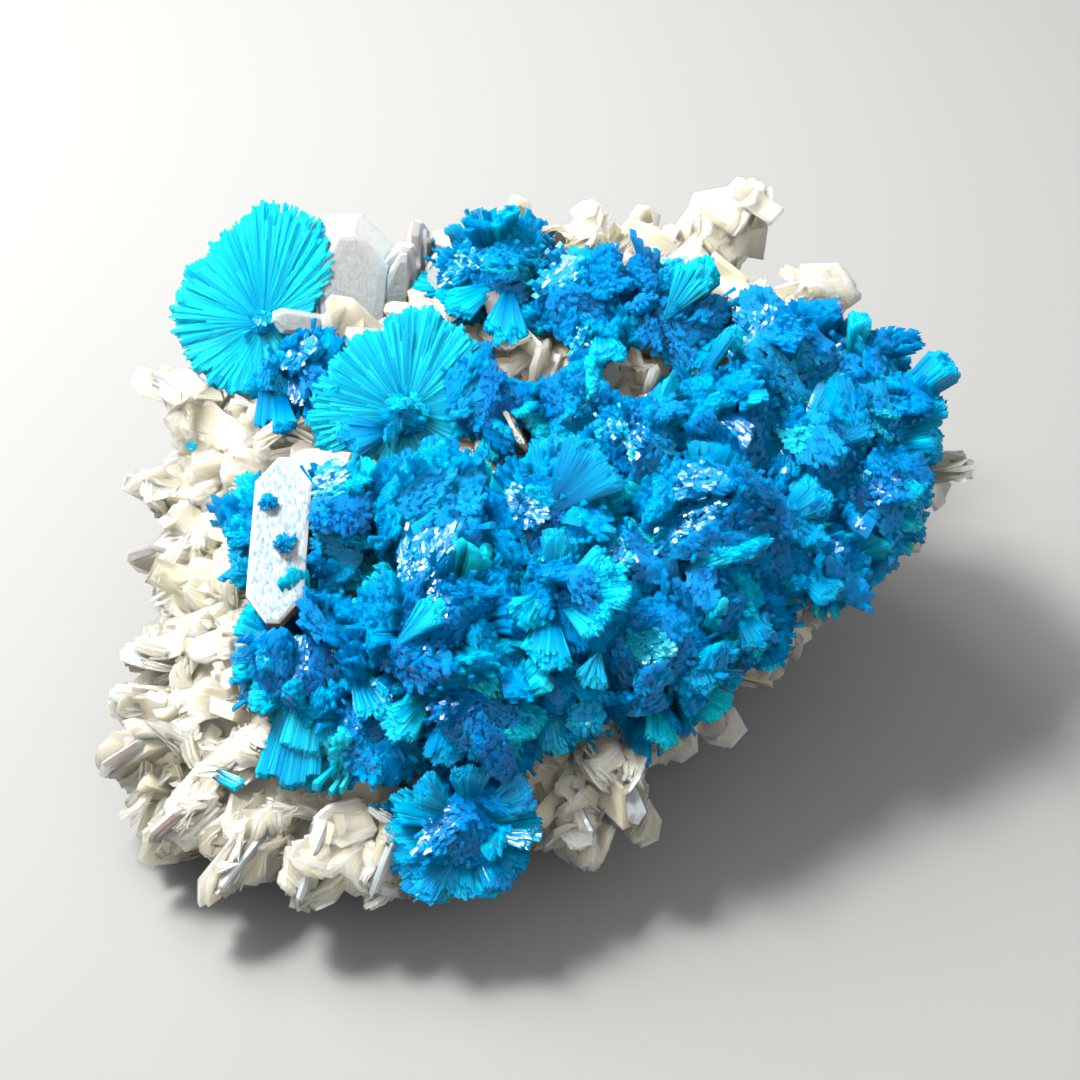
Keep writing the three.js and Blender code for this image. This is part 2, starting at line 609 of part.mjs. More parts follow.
// Rosettes and single bundles grown together, with clearance all round if grow is given.
function growth({ domes, discs = [], brushes = [], seed }, grow = 0) {
  return joined([
    ...domes.map((dome, i) => domeSolid(dome, domeBundles(dome, seed + i), grow)),
    ...discs.map((disc, i) => discSolid(disc, seed + 50 + i, grow)),
    ...brushes.map((brush) => bundleSolid(brushBundle(brush), grow)),
  ]);
}

// ---- Assembly -----------------------------------------------------------------------------------

const stilbite = new THREE.MeshStandardMaterial({ color: 0xe6e0cf, roughness: 0.35, metalness: 0 });
const clearStilbite = new THREE.MeshStandardMaterial({ color: 0xe9eef0, roughness: 0.12, metalness: 0 });
const cavansite = new THREE.MeshStandardMaterial({ color: 0x0a78d2, roughness: 0.35, metalness: 0 });

const blades = [...SINGLE_BLADES.map(singleBlade), ...topBlades(), ...sideBlades()];
const above = (solid) => solid.subtract(solidOf(
  new THREE.BoxGeometry(200, 200, 40).translate(0, 0, -20)));
const matrix = largestBody(above(joined([core(), ...blades.map((b) => blade(b))])));
const matrixCutter = joined([core(GAP), ...blades.map((b) => blade(b, GAP))]);

const clearList = CLEAR_BLADES.map(singleBlade);
const clear = largestBody(joined(clearList.map((b) => blade(b))).subtract(matrixCutter));
const clearCutter = joined(clearList.map((b) => blade(b, GAP)));

const tablet = tabletSolid(TABLET);
const tabletCutter = tabletSolid({ ...TABLET, width: TABLET.width + 2 * GAP, thick: TABLET.thick + 2 * GAP });

const CRUST_GROWTH = {
  domes: CRUST, discs: [FAN_DISC, CENTRE_DISC], brushes: CRUST_BRUSHES, seed: 100,
};
const seats = [matrixCutter, clearCutter, tabletCutter];
const crust = largestBody(cutBy(growth(CRUST_GROWTH), seats));
const frontSeats = [...seats, growth(CRUST_GROWTH, GAP)];
const frontRosette = largestBody(cutBy(growth({ domes: [FRONT_ROSETTE], seed: 500 }), frontSeats));

const specimen = new THREE.Group();
specimen.add(meshOf('stilbite_matrix', matrix, stilbite));
specimen.add(meshOf('stilbite_clear_cluster', clear, clearStilbite));
specimen.add(meshOf('stilbite_tablet', tablet, clearStilbite));
specimen.add(meshOf('cavansite_crust', crust, cavansite));
specimen.add(meshOf('cavansite_front_rosette', frontRosette, cavansite));
for (const needle of NEEDLES) {
  const fitted = needleSolid(needle).subtract(matrixCutter);
  specimen.add(meshOf(needle.name, largestBody(fitted), cavansite));
}

export default specimen;
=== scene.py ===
# %% [markdown]
# # Cavansite on stilbite
# Cavansite is a blue mineral that grows as bursts of thin laths, called rosettes, on the walls of
# cavities in basalt. Here the rosettes have run together into one crust over a block of cream
# stilbite blades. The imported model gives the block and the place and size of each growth. This
# lesson puts the fine crystals on it: thousands of laths and blades, made as plain meshes with numpy.

import math

import bpy
import numpy as np
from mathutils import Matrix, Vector
from mathutils.bvhtree import BVHTree
from mathutils.kdtree import KDTree


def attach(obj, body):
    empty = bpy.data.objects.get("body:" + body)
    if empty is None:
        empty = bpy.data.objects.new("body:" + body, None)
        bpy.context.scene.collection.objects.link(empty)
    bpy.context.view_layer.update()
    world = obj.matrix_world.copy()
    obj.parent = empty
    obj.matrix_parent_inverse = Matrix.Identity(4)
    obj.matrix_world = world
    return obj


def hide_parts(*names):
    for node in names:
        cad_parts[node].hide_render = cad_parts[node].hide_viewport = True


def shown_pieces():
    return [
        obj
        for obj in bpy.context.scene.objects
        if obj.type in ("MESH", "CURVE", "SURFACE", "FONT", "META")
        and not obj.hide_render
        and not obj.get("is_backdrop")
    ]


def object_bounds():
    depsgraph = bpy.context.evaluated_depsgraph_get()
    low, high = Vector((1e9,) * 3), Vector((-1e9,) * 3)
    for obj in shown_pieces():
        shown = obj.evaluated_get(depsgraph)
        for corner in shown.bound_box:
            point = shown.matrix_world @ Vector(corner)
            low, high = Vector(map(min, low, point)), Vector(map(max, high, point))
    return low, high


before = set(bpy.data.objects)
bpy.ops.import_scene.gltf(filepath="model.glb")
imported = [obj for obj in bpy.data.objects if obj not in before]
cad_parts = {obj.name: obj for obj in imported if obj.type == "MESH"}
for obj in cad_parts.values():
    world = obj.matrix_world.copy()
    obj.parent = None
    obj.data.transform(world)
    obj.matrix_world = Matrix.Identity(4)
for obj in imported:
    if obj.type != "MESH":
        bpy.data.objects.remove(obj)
cad_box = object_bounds()
MM = 0.001
print("nodes in the frame:", sorted(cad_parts))

# %% [markdown]
# ## Camera
# The specimen lies on a table and is looked down on from the front, halfway between level and
# straight above. A fairly long lens keeps the block from looking stretched.

# %% The camera
VIEW = {"target": (0, 0, 18), "elevation": 45, "field": 30, "distance": 201.5}


def place_camera(target, elevation, field, distance):
    made = bpy.data.objects.new("camera", bpy.data.cameras.new("camera"))
    bpy.context.scene.collection.objects.link(made)
    back = Vector((0, -math.cos(math.radians(elevation)), math.sin(math.radians(elevation))))
    made.location = (Vector(target) + back * distance) * MM
    made.rotation_mode = "QUATERNION"
    made.rotation_quaternion = back.to_track_quat("Z", "Y")
    made.data.sensor_width = 36
    made.data.lens = 18 / math.tan(math.radians(field / 2))
    made.data.clip_start = 0.01
    made.data.clip_end = 20
    bpy.context.scene.camera = made
    return made


camera = place_camera(**VIEW)
print("camera at", [round(x / MM, 1) for x in camera.location], "mm")

# %% [markdown]
# ## Colours and nodes
# Colours are written as the sRGB hex values that a picture editor shows. Blender's sockets want
# linear light, so one function turns one into the other. A second small function adds a shader node
# with its settings and its links, so that a material reads as a short list.

# %% Helpers for materials
def linear(hex_colour):
    channels = [int(hex_colour[i:i + 2], 16) / 255 for i in (1, 3, 5)]
    return [c / 12.92 if c <= 0.04045 else ((c + 0.055) / 1.055) ** 2.4 for c in channels] + [1.0]


def new_material(name):
    made = bpy.data.materials.new(name)
    made.use_nodes = True
    made.node_tree.nodes.clear()
    return made


def add(material, kind, settings=None, values=None, links=None):
    """Adds a node: settings are its own fields, values its sockets, links what comes into them."""
    node = material.node_tree.nodes.new(kind)
    for key, value in (settings or {}).items():
        setattr(node, key, value)
    for key, value in (values or {}).items():
        node.inputs[key].default_value = value
    for key, output in (links or {}).items():
        material.node_tree.links.new(output, node.inputs[key])
    return node


def scale_for(size):
    """The scale of a noise texture whose patches are about size mm across."""
    return 1 / (size * MM)


def finish_material(material, surface):
    add(material, "ShaderNodeOutputMaterial", links={"Surface": surface.outputs[0]})
    print("material", material.name, "has", len(material.node_tree.nodes), "nodes")
    return material


print("a noise with patches of 2 mm has a scale of", scale_for(2))

# %% [markdown]
# ## Floor and light
# A plain pale floor and soft studio light. The main softbox stands at the upper left and a little
# behind, so the right side falls into soft shade. A large weak one from the front right opens the
# shadows. Neither is mirrored by the crystals: that is left to a small lamp beside the main one, so
# the sparks stay small and crisp. Light bounces are few, which keeps a render of so many crystals short.

# %% Floor, world and lights
scene = bpy.context.scene
scene.view_settings.view_transform = "Standard"


def pale_floor():
    bpy.ops.mesh.primitive_plane_add(size=4, location=(0, 0, 0))
    made = bpy.context.object
    made.name = "floor"
    paper = new_material("matt_paper")
    finish_material(paper, add(paper, "ShaderNodeBsdfPrincipled", values={
        "Base Color": linear("#a6a5a2"), "Roughness": 0.8, "Specular IOR Level": 0}))
    made.data.materials.append(paper)
    return made


def softbox(name, place, size, power):
    made = bpy.data.objects.new(name, bpy.data.lights.new(name, "AREA"))
    made.data.size = size * MM
    made.data.energy = power
    made.location = Vector(place) * MM
    made.rotation_mode = "QUATERNION"
    made.rotation_quaternion = (Vector(place) - Vector(VIEW["target"])).to_track_quat("Z", "Y")
    scene.collection.objects.link(made)
    return made


floor = pale_floor()
floor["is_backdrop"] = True
key = softbox("key", (-190, 150, 300), 240, 1.5)
key.visible_glossy = False  # of the lamps, the crystals mirror the small one alone
softbox("sparkle", (-170, 90, 320), 80, 1.5)
fill = softbox("fill", (160, -260, 260), 320, 0.2)
fill.visible_glossy = False
world = bpy.data.worlds.new("studio")
scene.world = world
world.use_nodes = True
world.node_tree.nodes["Background"].inputs["Color"].default_value = linear("#eef2f6")
world.node_tree.nodes["Background"].inputs["Strength"].default_value = 0.5
scene.cycles.max_bounces = 6
scene.cycles.diffuse_bounces = 0  # the light colours of the stilbite make up for it
scene.cycles.glossy_bounces = 1
scene.cycles.transmission_bounces = 4
scene.cycles.use_light_tree = False  # three lamps don't need one
scene.cycles.debug_use_spatial_splits = True  # suits long thin crystals

# %% [markdown]
# ## Many crystals in one mesh
# A rosette holds over a thousand crystals. Separate objects would be slow, so all crystals of a
# piece go into one mesh. Each kind of crystal is a small pattern of corners and faces, and numpy
# repeats the pattern. Three values are stored with the mesh for the material to read: `tone`, a
# random number for each crystal, `along`, from 0 at its root to 1 at its tip, and `cap`, which is 1
# on the small faces that close the tip. The map named OFBake gives each tone a strip of its own, with
# the sides below and the cap faces above, so a texture baked from the colours stays exact.

# %% A mesh from a repeated pattern
TONE_STRIPS = 32


def crystal_mesh(name, corners, pattern, tone, along, cap):
    """corners is (crystals, corners of each, 3) in mm; pattern lists each face's corners."""
    count, each = corners.shape[:2]
    flat = np.concatenate([np.array(face) for face in pattern])
    sizes = np.array([len(face) for face in pattern])
    loops = (flat[None, :] + each * np.arange(count)[:, None]).ravel()
    totals = np.tile(sizes, count)
    mesh = bpy.data.meshes.new(name)
    mesh.vertices.add(count * each)
    mesh.vertices.foreach_set("co", (corners * MM).astype(np.float32).ravel())
    mesh.loops.add(len(loops))
    mesh.loops.foreach_set("vertex_index", loops.astype(np.int32))
    mesh.polygons.add(len(totals))
    mesh.polygons.foreach_set("loop_start", (np.cumsum(totals) - totals).astype(np.int32))
    mesh.update(calc_edges=True)
    mesh.shade_flat()
    store(mesh, "tone", "FACE", np.repeat(tone, len(pattern)))
    store(mesh, "along", "POINT", np.tile(along, count))
    store(mesh, "cap", "FACE", np.tile(cap, count))
    strips = (np.floor(tone * TONE_STRIPS) + 0.5) / TONE_STRIPS
    turn = np.concatenate([np.arange(size) / size for size in sizes]) * 2 * math.pi
    face_cap = np.repeat(np.asarray(cap, float), sizes)
    across_strip = 0.35 * np.cos(turn) / TONE_STRIPS
    height = np.where(face_cap > 0, 0.93 + 0.04 * np.sin(turn), 0.86 * np.asarray(along)[flat] + 0.01)
    chart = np.stack([np.repeat(strips, len(flat)) + np.tile(across_strip, count),
                      np.tile(height, count)], axis=1)
    mesh.uv_layers.new(name="OFBake").data.foreach_set("uv", chart.astype(np.float32).ravel())
    return mesh


def store(mesh, name, domain, values):
    layer = mesh.attributes.new(name, "FLOAT", domain)
    layer.data.foreach_set("value", np.asarray(values, np.float32))


def add_piece(name, mesh, material, replaces=None, slot=None):
    mesh.materials.append(material)
    made = bpy.data.objects.new(name, mesh)
    scene.collection.objects.link(made)
    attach(made, "root")
    if replaces:
        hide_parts(replaces)
    return made


print("the crystals' tones share", TONE_STRIPS, "strips of the map")

# %% [markdown]
# ## Directions
# Two small functions that all growths share: directions across an axis, and an even spread of
# directions over a dome, each turned by the golden angle from the one before it.

# %% Directions
GOLDEN_ANGLE = math.radians(137.508)


def unit(vectors):
    vectors = np.asarray(vectors, float)
    return vectors / np.linalg.norm(vectors, axis=-1, keepdims=True)


def across(along, roll=0.0):
    """Two directions across a third one, turned about it by roll."""
    along = unit(along)
    helper = np.array([0, 0, 1.0]) if abs(along[2]) < 0.9 else np.array([1.0, 0, 0])
    side = unit(np.cross(helper, along))
    face = np.cross(along, side)
    turned = side * math.cos(roll) + face * math.sin(roll)
    return turned, np.cross(along, turned)


def roll_towards(direction, wanted):
    """The roll that turns a sheaf's width to lie along wanted."""
    side, face = across(direction)
    return math.atan2(float(np.dot(wanted, face)), float(np.dot(wanted, side)))


def dome_directions(lean, count, spread_deg, rng):
    """count directions over a dome whose axis leans from +Z by lean = (towards X, towards Y)."""
    axis = unit([lean[0], lean[1], 1.0])
    side, front = across(axis)
    lowest = math.cos(math.radians(spread_deg))
    tilt = np.arccos(1 + (lowest - 1) * (np.arange(count) + 0.5) / count)
    tilt = tilt + rng.uniform(-0.07, 0.07, count)
    turn = np.arange(count) * GOLDEN_ANGLE + rng.uniform(-0.1, 0.1, count)
    return (np.cos(tilt)[:, None] * axis + (np.sin(tilt) * np.cos(turn))[:, None] * side
            + (np.sin(tilt) * np.sin(turn))[:, None] * front)


few = dome_directions((0, 0), 5, 80, np.random.default_rng(1))
print("an upright dome of 5:", np.round(few, 2).tolist())

# %% [markdown]
# ## The lath
# A cavansite crystal is a thin lath with a slanting end. It is narrow at the heart of the rosette,
# where hundreds start together, and widens outwards. Five corners are enough: the root and four round
# the end. A sheaf is a packed bundle of laths. Its end is stepped because neighbours stopped at
# different lengths, and its end faces lie nearly parallel, so they glint together.

# %% Laths and sheaves
LATH = {"width": 0.2, "thick": 0.19}  # mm between the laths of a sheaf; real ones are often finer
LATH_FACES = [(0, 2, 1), (0, 3, 2), (0, 4, 3), (0, 1, 4), (1, 2, 3, 4)]
LATH_ALONG = [0, 1, 1, 1, 1]
LATH_CAP = [0, 0, 0, 0, 1]


def lath_corners(roots, tips, sides, widths, thicks, slants):
    """Corners of many laths: (laths, 5, 3). sides is each lath's width direction, and slants says how
    much further its end reaches on one side and on one face."""
    along = unit(tips - roots)
    side = unit(sides - np.sum(sides * along, axis=1, keepdims=True) * along)
    face = np.cross(along, side)
    corners = [roots]
    for sideways, through in ((-1, -1), (1, -1), (1, 1), (-1, 1)):
        forward = (sideways * slants[:, 0] + through * slants[:, 1])[:, None]
        corners.append(tips + side * (sideways * widths / 2)[:, None]
                       + face * (through * thicks / 2)[:, None] + along * forward)
    return np.stack(corners, axis=1)


def cap_slants(directions, sides, widths, thicks, normals):
    """The slants that turn the end face of each lath towards normals."""
    side = unit(sides - np.sum(sides * directions, axis=1, keepdims=True) * directions)
    face = np.cross(directions, side)
    forward = np.maximum(np.sum(normals * directions, axis=1), 0.5)
    slants = np.stack([-widths / 2 * np.sum(normals * side, axis=1) / forward,
                       -thicks / 2 * np.sum(normals * face, axis=1) / forward], axis=1)
    return np.clip(slants, -0.3, 0.3)


def sheaf(heart, direction, length, width, thick, roll, rng, gather=0.06, bow=0.05, step=0.035, start=0.0):
    """One packed bundle of laths. gather is how wide its root is as a share of its end, and start the
    share of the length that is left out because it is always hidden."""
    side, face = across(direction, roll)
    columns = max(3, round(width / LATH["width"]))
    rows = max(2, round(thick / LATH["thick"]))
    u, v = [g.ravel() for g in np.meshgrid(np.linspace(-1, 1, columns), np.linspace(-1, 1, rows))]
    u = u + rng.uniform(-0.7, 0.7, len(u)) / columns
    v = v + rng.uniform(-0.7, 0.7, len(v)) / rows
    inside = u ** 4 + v ** 4 < 1.6
    u, v = u[inside], v[inside]
    count = len(u)
    steps = rng.uniform(-step, step, (5, 3))
    cell = steps[np.clip(((u + 1) * 2.5).astype(int), 0, 4), np.clip(((v + 1) * 1.5).astype(int), 0, 2)]
    reach = length * (1 - bow * u * u - bow * v * v + cell) + rng.normal(0, 0.1, count)
    offset = side * (width / 2 * u)[:, None] + face * (thick / 2 * v)[:, None]
    tips = heart + unit(direction) * reach[:, None] + offset
    roots = heart + offset * gather
    roots = roots + start * (tips - roots)
    twist = rng.normal(0, 0.12, count)[:, None]
    sides = side * np.cos(twist) + face * np.sin(twist)
    widths = np.full(count, width / columns * 1.25) * rng.uniform(0.8, 1.2, count)
    thicks = np.full(count, thick / rows * 1.25) * rng.uniform(0.8, 1.2, count)
    slants = rng.uniform(-0.1, 0.1, 2) + rng.normal(0, 0.02, (count, 2))
    return lath_corners(roots, tips, sides, widths, thicks, slants)


def toned(laths, low, high, rng):
    """Gives a sheaf one tone between low and high, and each lath a little of its own."""
    return laths, rng.uniform(low, high) + rng.normal(0, 0.1, len(laths))


def inside_box(corners, margin=0.9):
    """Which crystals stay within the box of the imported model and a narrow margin, in mm."""
    low, high = np.array(cad_box) / MM
    return ((corners > low - margin) & (corners < high + margin)).all(axis=(1, 2))


def lath_piece(name, sheaves, **options):
    """sheaves lists (corners, tones)."""
    corners = np.concatenate([laths for laths, _ in sheaves])
    kept = inside_box(corners)
    tones = np.clip(np.concatenate([tones for _, tones in sheaves]), 0, 0.999)[kept]
    corners = corners[kept]
    mesh = crystal_mesh(name, corners, LATH_FACES, tones, LATH_ALONG, LATH_CAP)
    return add_piece(name, mesh, cavansite, slot="cavansite", **options)


print("a lath has", len(LATH_FACES), "faces; in a sheaf they stand", LATH["width"], "mm apart")

# %% [markdown]
# ## Cavansite
# A calcium vanadium silicate, coloured by vanadium right through. It is glassy to pearly, and its
# blue depends on which way the light crosses it: a lath is a deep azure seen end on and a brighter
# turquoise seen from its side, and where it is thin it pales to turquoise all over. So the cap faces and
# the sides have their own colours, and a high tone is a thin crystal. The sides also darken towards
# the root, which is painted shade: deep in a rosette the laths lie in each other's shade. Light that
# wanders inside the laths keeps the shade between them blue instead of grey.

# %% The cavansite material
def ramp(material, by, stops):
    """A colour ramp of (position, hex colour) stops."""
    made = add(material, "ShaderNodeValToRGB", links={"Fac": by})
    elements = made.color_ramp.elements
    while len(elements) < len(stops):
        elements.new(0.5)
    for element, (position, colour) in zip(elements, stops):
        element.position = position
        element.color = linear(colour)
    return made.outputs["Color"]


def blend_colours(material, by, first, second):
    """From first to second as by goes from 0 to 1. second may be a hex colour."""
    made = add(material, "ShaderNodeMix", {"data_type": "RGBA"})
    colour_sockets = [socket for socket in made.inputs if socket.type == "RGBA"]
    material.node_tree.links.new(by, made.inputs[0])
    material.node_tree.links.new(first, colour_sockets[0])
    if isinstance(second, str):
        colour_sockets[1].default_value = linear(second)
    else:
        material.node_tree.links.new(second, colour_sockets[1])
    return next(socket for socket in made.outputs if socket.type == "RGBA")


CAVANSITE_GRAIN = 0.2  # mm; the real grain is finer, and this is the finest that shows


def make_cavansite():
    made = new_material("cavansite_vanadium_silicate")
    tone, along, cap = [
        add(made, "ShaderNodeAttribute", {"attribute_name": name}).outputs["Fac"]
        for name in ("tone", "along", "cap")]
    # painted shade: the sides are darker at the root, deep among the laths, and lighter at the tip
    root = ramp(made, tone, [(0, "#00508a"), (0.55, "#006ca8"), (1, "#00aac8")])
    tip = ramp(made, tone, [(0, "#0086ce"), (0.5, "#00a0de"), (0.75, "#00bce4"), (1, "#20e4f4")])
    ends = ramp(made, tone, [(0, "#0074c0"), (0.5, "#0092dc"), (0.75, "#00b2e2"), (1, "#20dcf0")])
    outer = add(made, "ShaderNodeMapRange", values={"From Min": 0.3, "From Max": 1.0},
                links={"Value": along})
    sides = blend_colours(made, outer.outputs["Result"], root, tip)
    seen = blend_colours(made, cap, sides, ends)
    place = add(made, "ShaderNodeTexCoord").outputs["Object"]
    grains = add(made, "ShaderNodeTexNoise",
                 values={"Scale": scale_for(CAVANSITE_GRAIN), "Detail": 2}, links={"Vector": place})
    fine = add(made, "ShaderNodeBump", values={"Strength": 0.25, "Distance": 0.0001},
               links={"Height": grains.outputs["Fac"]})
    glass = add(made, "ShaderNodeBsdfPrincipled", {"subsurface_method": "BURLEY"}, {
        "Roughness": 0.1, "IOR": 1.55, "Specular IOR Level": 0.3,
        "Subsurface Weight": 0.8, "Subsurface Scale": 0.0013,
        "Subsurface Radius": (0.15, 0.8, 1.0)}, {"Base Color": seen, "Normal": fine.outputs["Normal"]})
    return finish_material(made, glass)


cavansite = make_cavansite()

# %% [markdown]
# ## Where the rosettes are
# The same places as in the model: heart, radius and lean of each domed rosette, in millimetres. A
# lath that would end in the block or past the middle between two rosettes is left out or shortened,
# since nothing of it shows.

# %% Places of the rosettes
ROSETTES = [
    ((3.5, 8.6, 27), 6.2, (0, -0.1)), ((9.4, 3.6, 25.8), 6.4, (0, -0.2)),
    ((0, -4.5, 24.1), 7.6, (0, -0.3)), ((19, 6, 26.8), 6.5, (0, -0.2)),
    ((25, 12, 29), 6.5, (0.1, 0)), ((31.5, 12, 29.3), 5.2, (0.5, 0.2)),
    ((34, 6.5, 27.5), 5, (0.9, 0)), ((27, 3.5, 26.8), 6, (0.1, -0.3)),
    ((32.3, -0.8, 24.6), 5.4, (0.6, -0.5)), ((15.3, -4, 24.5), 7.5, (0, -0.2)),
    ((-10.5, -4.5, 23.3), 7.8, (-0.1, -0.2)), ((-19.5, -3.5, 22.5), 7, (-0.4, -0.2)),
    ((-26, -2, 21.5), 4.5, (-0.9, 0)), ((-21, -15.5, 18), 7, (-0.5, -0.6)),
    ((-9, -15, 21.2), 8.2, (-0.1, -0.4)), ((-4.6, -21.5, 16.5), 7, (0, -1.3)),
    ((4, -13.5, 21.5), 7, (0.2, -0.5)), ((10.5, -16, 17), 7.5, (0.2, -0.8)),
    ((15.6, -10.5, 20.5), 5.5, (0.3, -0.6)), ((23, -5.5, 22.5), 5.5, (0.4, -0.5)),
    ((28, -7, 21.5), 4.2, (0.7, -0.8)), ((20, -13, 18.5), 3.8, (0.7, -0.9)),
    ((-15, -21.5, 15.5), 5.5, (-0.2, -1.2)), ((4.6, 14.6, 28.6), 5.6, (0, 0)),
    ((-4.2, 9.4, 27.6), 5.4, (-0.1, -0.1)), ((26.5, -1.6, 24.6), 4.6, (0.2, -0.5)),
    ((8.6, -8.2, 23), 5, (0.1, -0.4)), ((2, -19.5, 17.5), 4.8, (0.1, -1)),
    ((-4, 25, 29.8), 7.4, (-0.1, -0.1)), ((5.5, 20.5, 29.3), 7, (0, -0.1)),
    ((12.4, 18.2, 29.2), 7, (0.2, 0)), ((-24, 14.6, 26), 5, (-0.2, -0.4)),
]
FAN = {
    "heart": (-28.4, 20.6, 29.1), "radius": 10, "lean": (-0.25, -0.9),
    "rim": [(0, 5), (26, 5.5), (45, 8.5), (59, 10.3), (75, 11.9), (93, 12.6), (106, 12.2), (120, 10.9),
            (144, 9.9), (163, 10.2), (186, 10.1), (205, 9.3), (237, 8.5), (262, 8), (290, 6), (360, 5)],
}
CENTRE = {
    "heart": (-13.4, 8.3, 27.4), "radius": 9.3, "lean": (0, -0.75),
    "rim": [(0, 9), (30, 9.6), (60, 10.4), (80, 11), (105, 9.6), (135, 9.2), (160, 9.5), (180, 9.8),
            (215, 9), (250, 7.6), (290, 7.2), (330, 8.4), (360, 9)],
}
FRONT = ((-7, -29.5, 9.5), 7.6, (0, -1.2))
TABLET = {"tips": ((-24.3, -0.4, 29.2), (-24.8, -15.5, 22.2)), "width": 5.4, "thick": 1.9, "arrow": 2.6}
HEARTS = np.array([row[0] for row in ROSETTES] + [FAN["heart"], CENTRE["heart"], FRONT[0]], float)
RADII = np.array([row[1] for row in ROSETTES] + [0.6 * FAN["radius"], 0.6 * CENTRE["radius"], FRONT[1]])


def tree_of(node):
    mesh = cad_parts[node].data
    places = [v.co / MM for v in mesh.vertices]
    return BVHTree.FromPolygons(places, [tuple(p.vertices) for p in mesh.polygons])


block = tree_of("stilbite_matrix")


def depth_in_block(point):
    """How deep a point lies inside the stilbite block, negative outside."""
    place, normal, _, distance = block.find_nearest(Vector(point))
    return distance if (Vector(point) - place).dot(normal) < 0 else -distance


def free_lengths(heart, radius, directions, own):
    """How far crystals may grow from a heart before they are in a neighbour's half of the space between."""
    towards = np.delete(HEARTS - heart, own, axis=0)
    radii = np.delete(RADII, own)
    facing = directions @ towards.T
    middle = (np.sum(towards ** 2, axis=1) - radii ** 2 + radius ** 2) / 2
    return np.where(facing > 0, middle / np.maximum(facing, 1e-6), np.inf).min(axis=1)


print(len(ROSETTES), "domed rosettes")
print("the first heart lies", round(depth_in_block(HEARTS[0]), 1), "mm deep in the block")

# %% [markdown]
# ## Domed rosettes
# Each is a burst of thousands of laths from one heart. They grew in bundles, which stopped at their own
# lengths, so the dome has low steps and clefts. Each lath belongs to the bundle whose axis is nearest
# to it, and takes its length, turn and tone from it. A dome is never a true sphere, so its radius swells
# and sinks with direction. Two places in the crust stay open, and nothing grows over the loose tablet.

# %% Gaps in the crust
WINDOWS = np.array([(-1, 18.5, 4.2, 2.9), (9.5, 16.5, 3.4, 2.6)])  # gaps in the crust, see in_window


def in_window(tips):
    """Where the crust has a gap that shows the stilbite below: an ellipse in the plane that faces the
    upper front, with its place along X, its place up the slope and its two half sizes."""
    upwards = (tips[:, 1] + tips[:, 2] - VIEW["target"][2]) * math.sqrt(0.5)
    flat = np.stack([tips[:, 0], upwards], axis=1)[:, None]
    return (np.sum(((flat - WINDOWS[:, :2]) / WINDOWS[:, 2:]) ** 2, axis=2) < 1).any(axis=1)


def over_tablet(tips):
    """Where a lath would hide the loose tablet, which lies on the crust."""
    ends = np.array(TABLET["tips"], float)
    length = np.linalg.norm(ends[0] - ends[1])
    along = (ends[0] - ends[1]) / length
    side, face = across(along)
    offsets = tips - ends.mean(axis=0)
    beside = (abs(offsets @ side) < TABLET["width"] / 2 + 0.2) & (abs(offsets @ along) < length / 2 + 1.2)
    return beside & (offsets @ face > -0.4 * TABLET["thick"])


print("hearts that lie in a gap:", int(in_window(HEARTS).sum()))

# %% [markdown]
# ## Bundles of laths
# The laths of a rosette grew in bundles. The end faces of a bundle lie nearly parallel, so they glint
# together, and a few bundles on the upper side face midway between the viewer and the small lamp. Two
# layers are grown: fine laths on the outside, and coarse ones just below that close the gaps.

# %% Bundles of laths
MESHED = 1.06  # neighbours' laths reach this far past the middle between them
SPARK = unit([-0.28, -0.27, 0.92])  # midway between the viewer and the small lamp
SPARKLING = {"facing": 0.82, "share": 0.22}  # bundles near SPARK, and how many of them glint
HIDDEN = 0.5  # the inner share of a dome that never shows, so its laths start there
SUNK = 0.5  # mm; a lath whose tip is deeper in the block is left out
PETAL_SUNK = 2  # mm; the same for a petal, near its tip
LONE_LATHS = 0.12  # share of laths that stand out of the dome


def swelling(directions, rng, amount=0.09):
    """A smooth factor near 1 for each direction."""
    waves = rng.normal(0, 1.6, (4, 3))
    phases = rng.uniform(0, 2 * math.pi, 4)
    return 1 + amount * np.sin(directions @ waves.T * 1.5 + phases).mean(axis=1) * 2


def bundle_axes(lean, count, rng):
    """The axes of a rosette's bundles, with the width and thickness directions of each."""
    axes = unit(dome_directions(lean, count, 88, rng) + rng.normal(0, 0.15, (count, 3)))
    frames = np.array([across(axis, rng.uniform(0, math.pi)) for axis in axes])
    return axes, frames[:, 0], frames[:, 1]


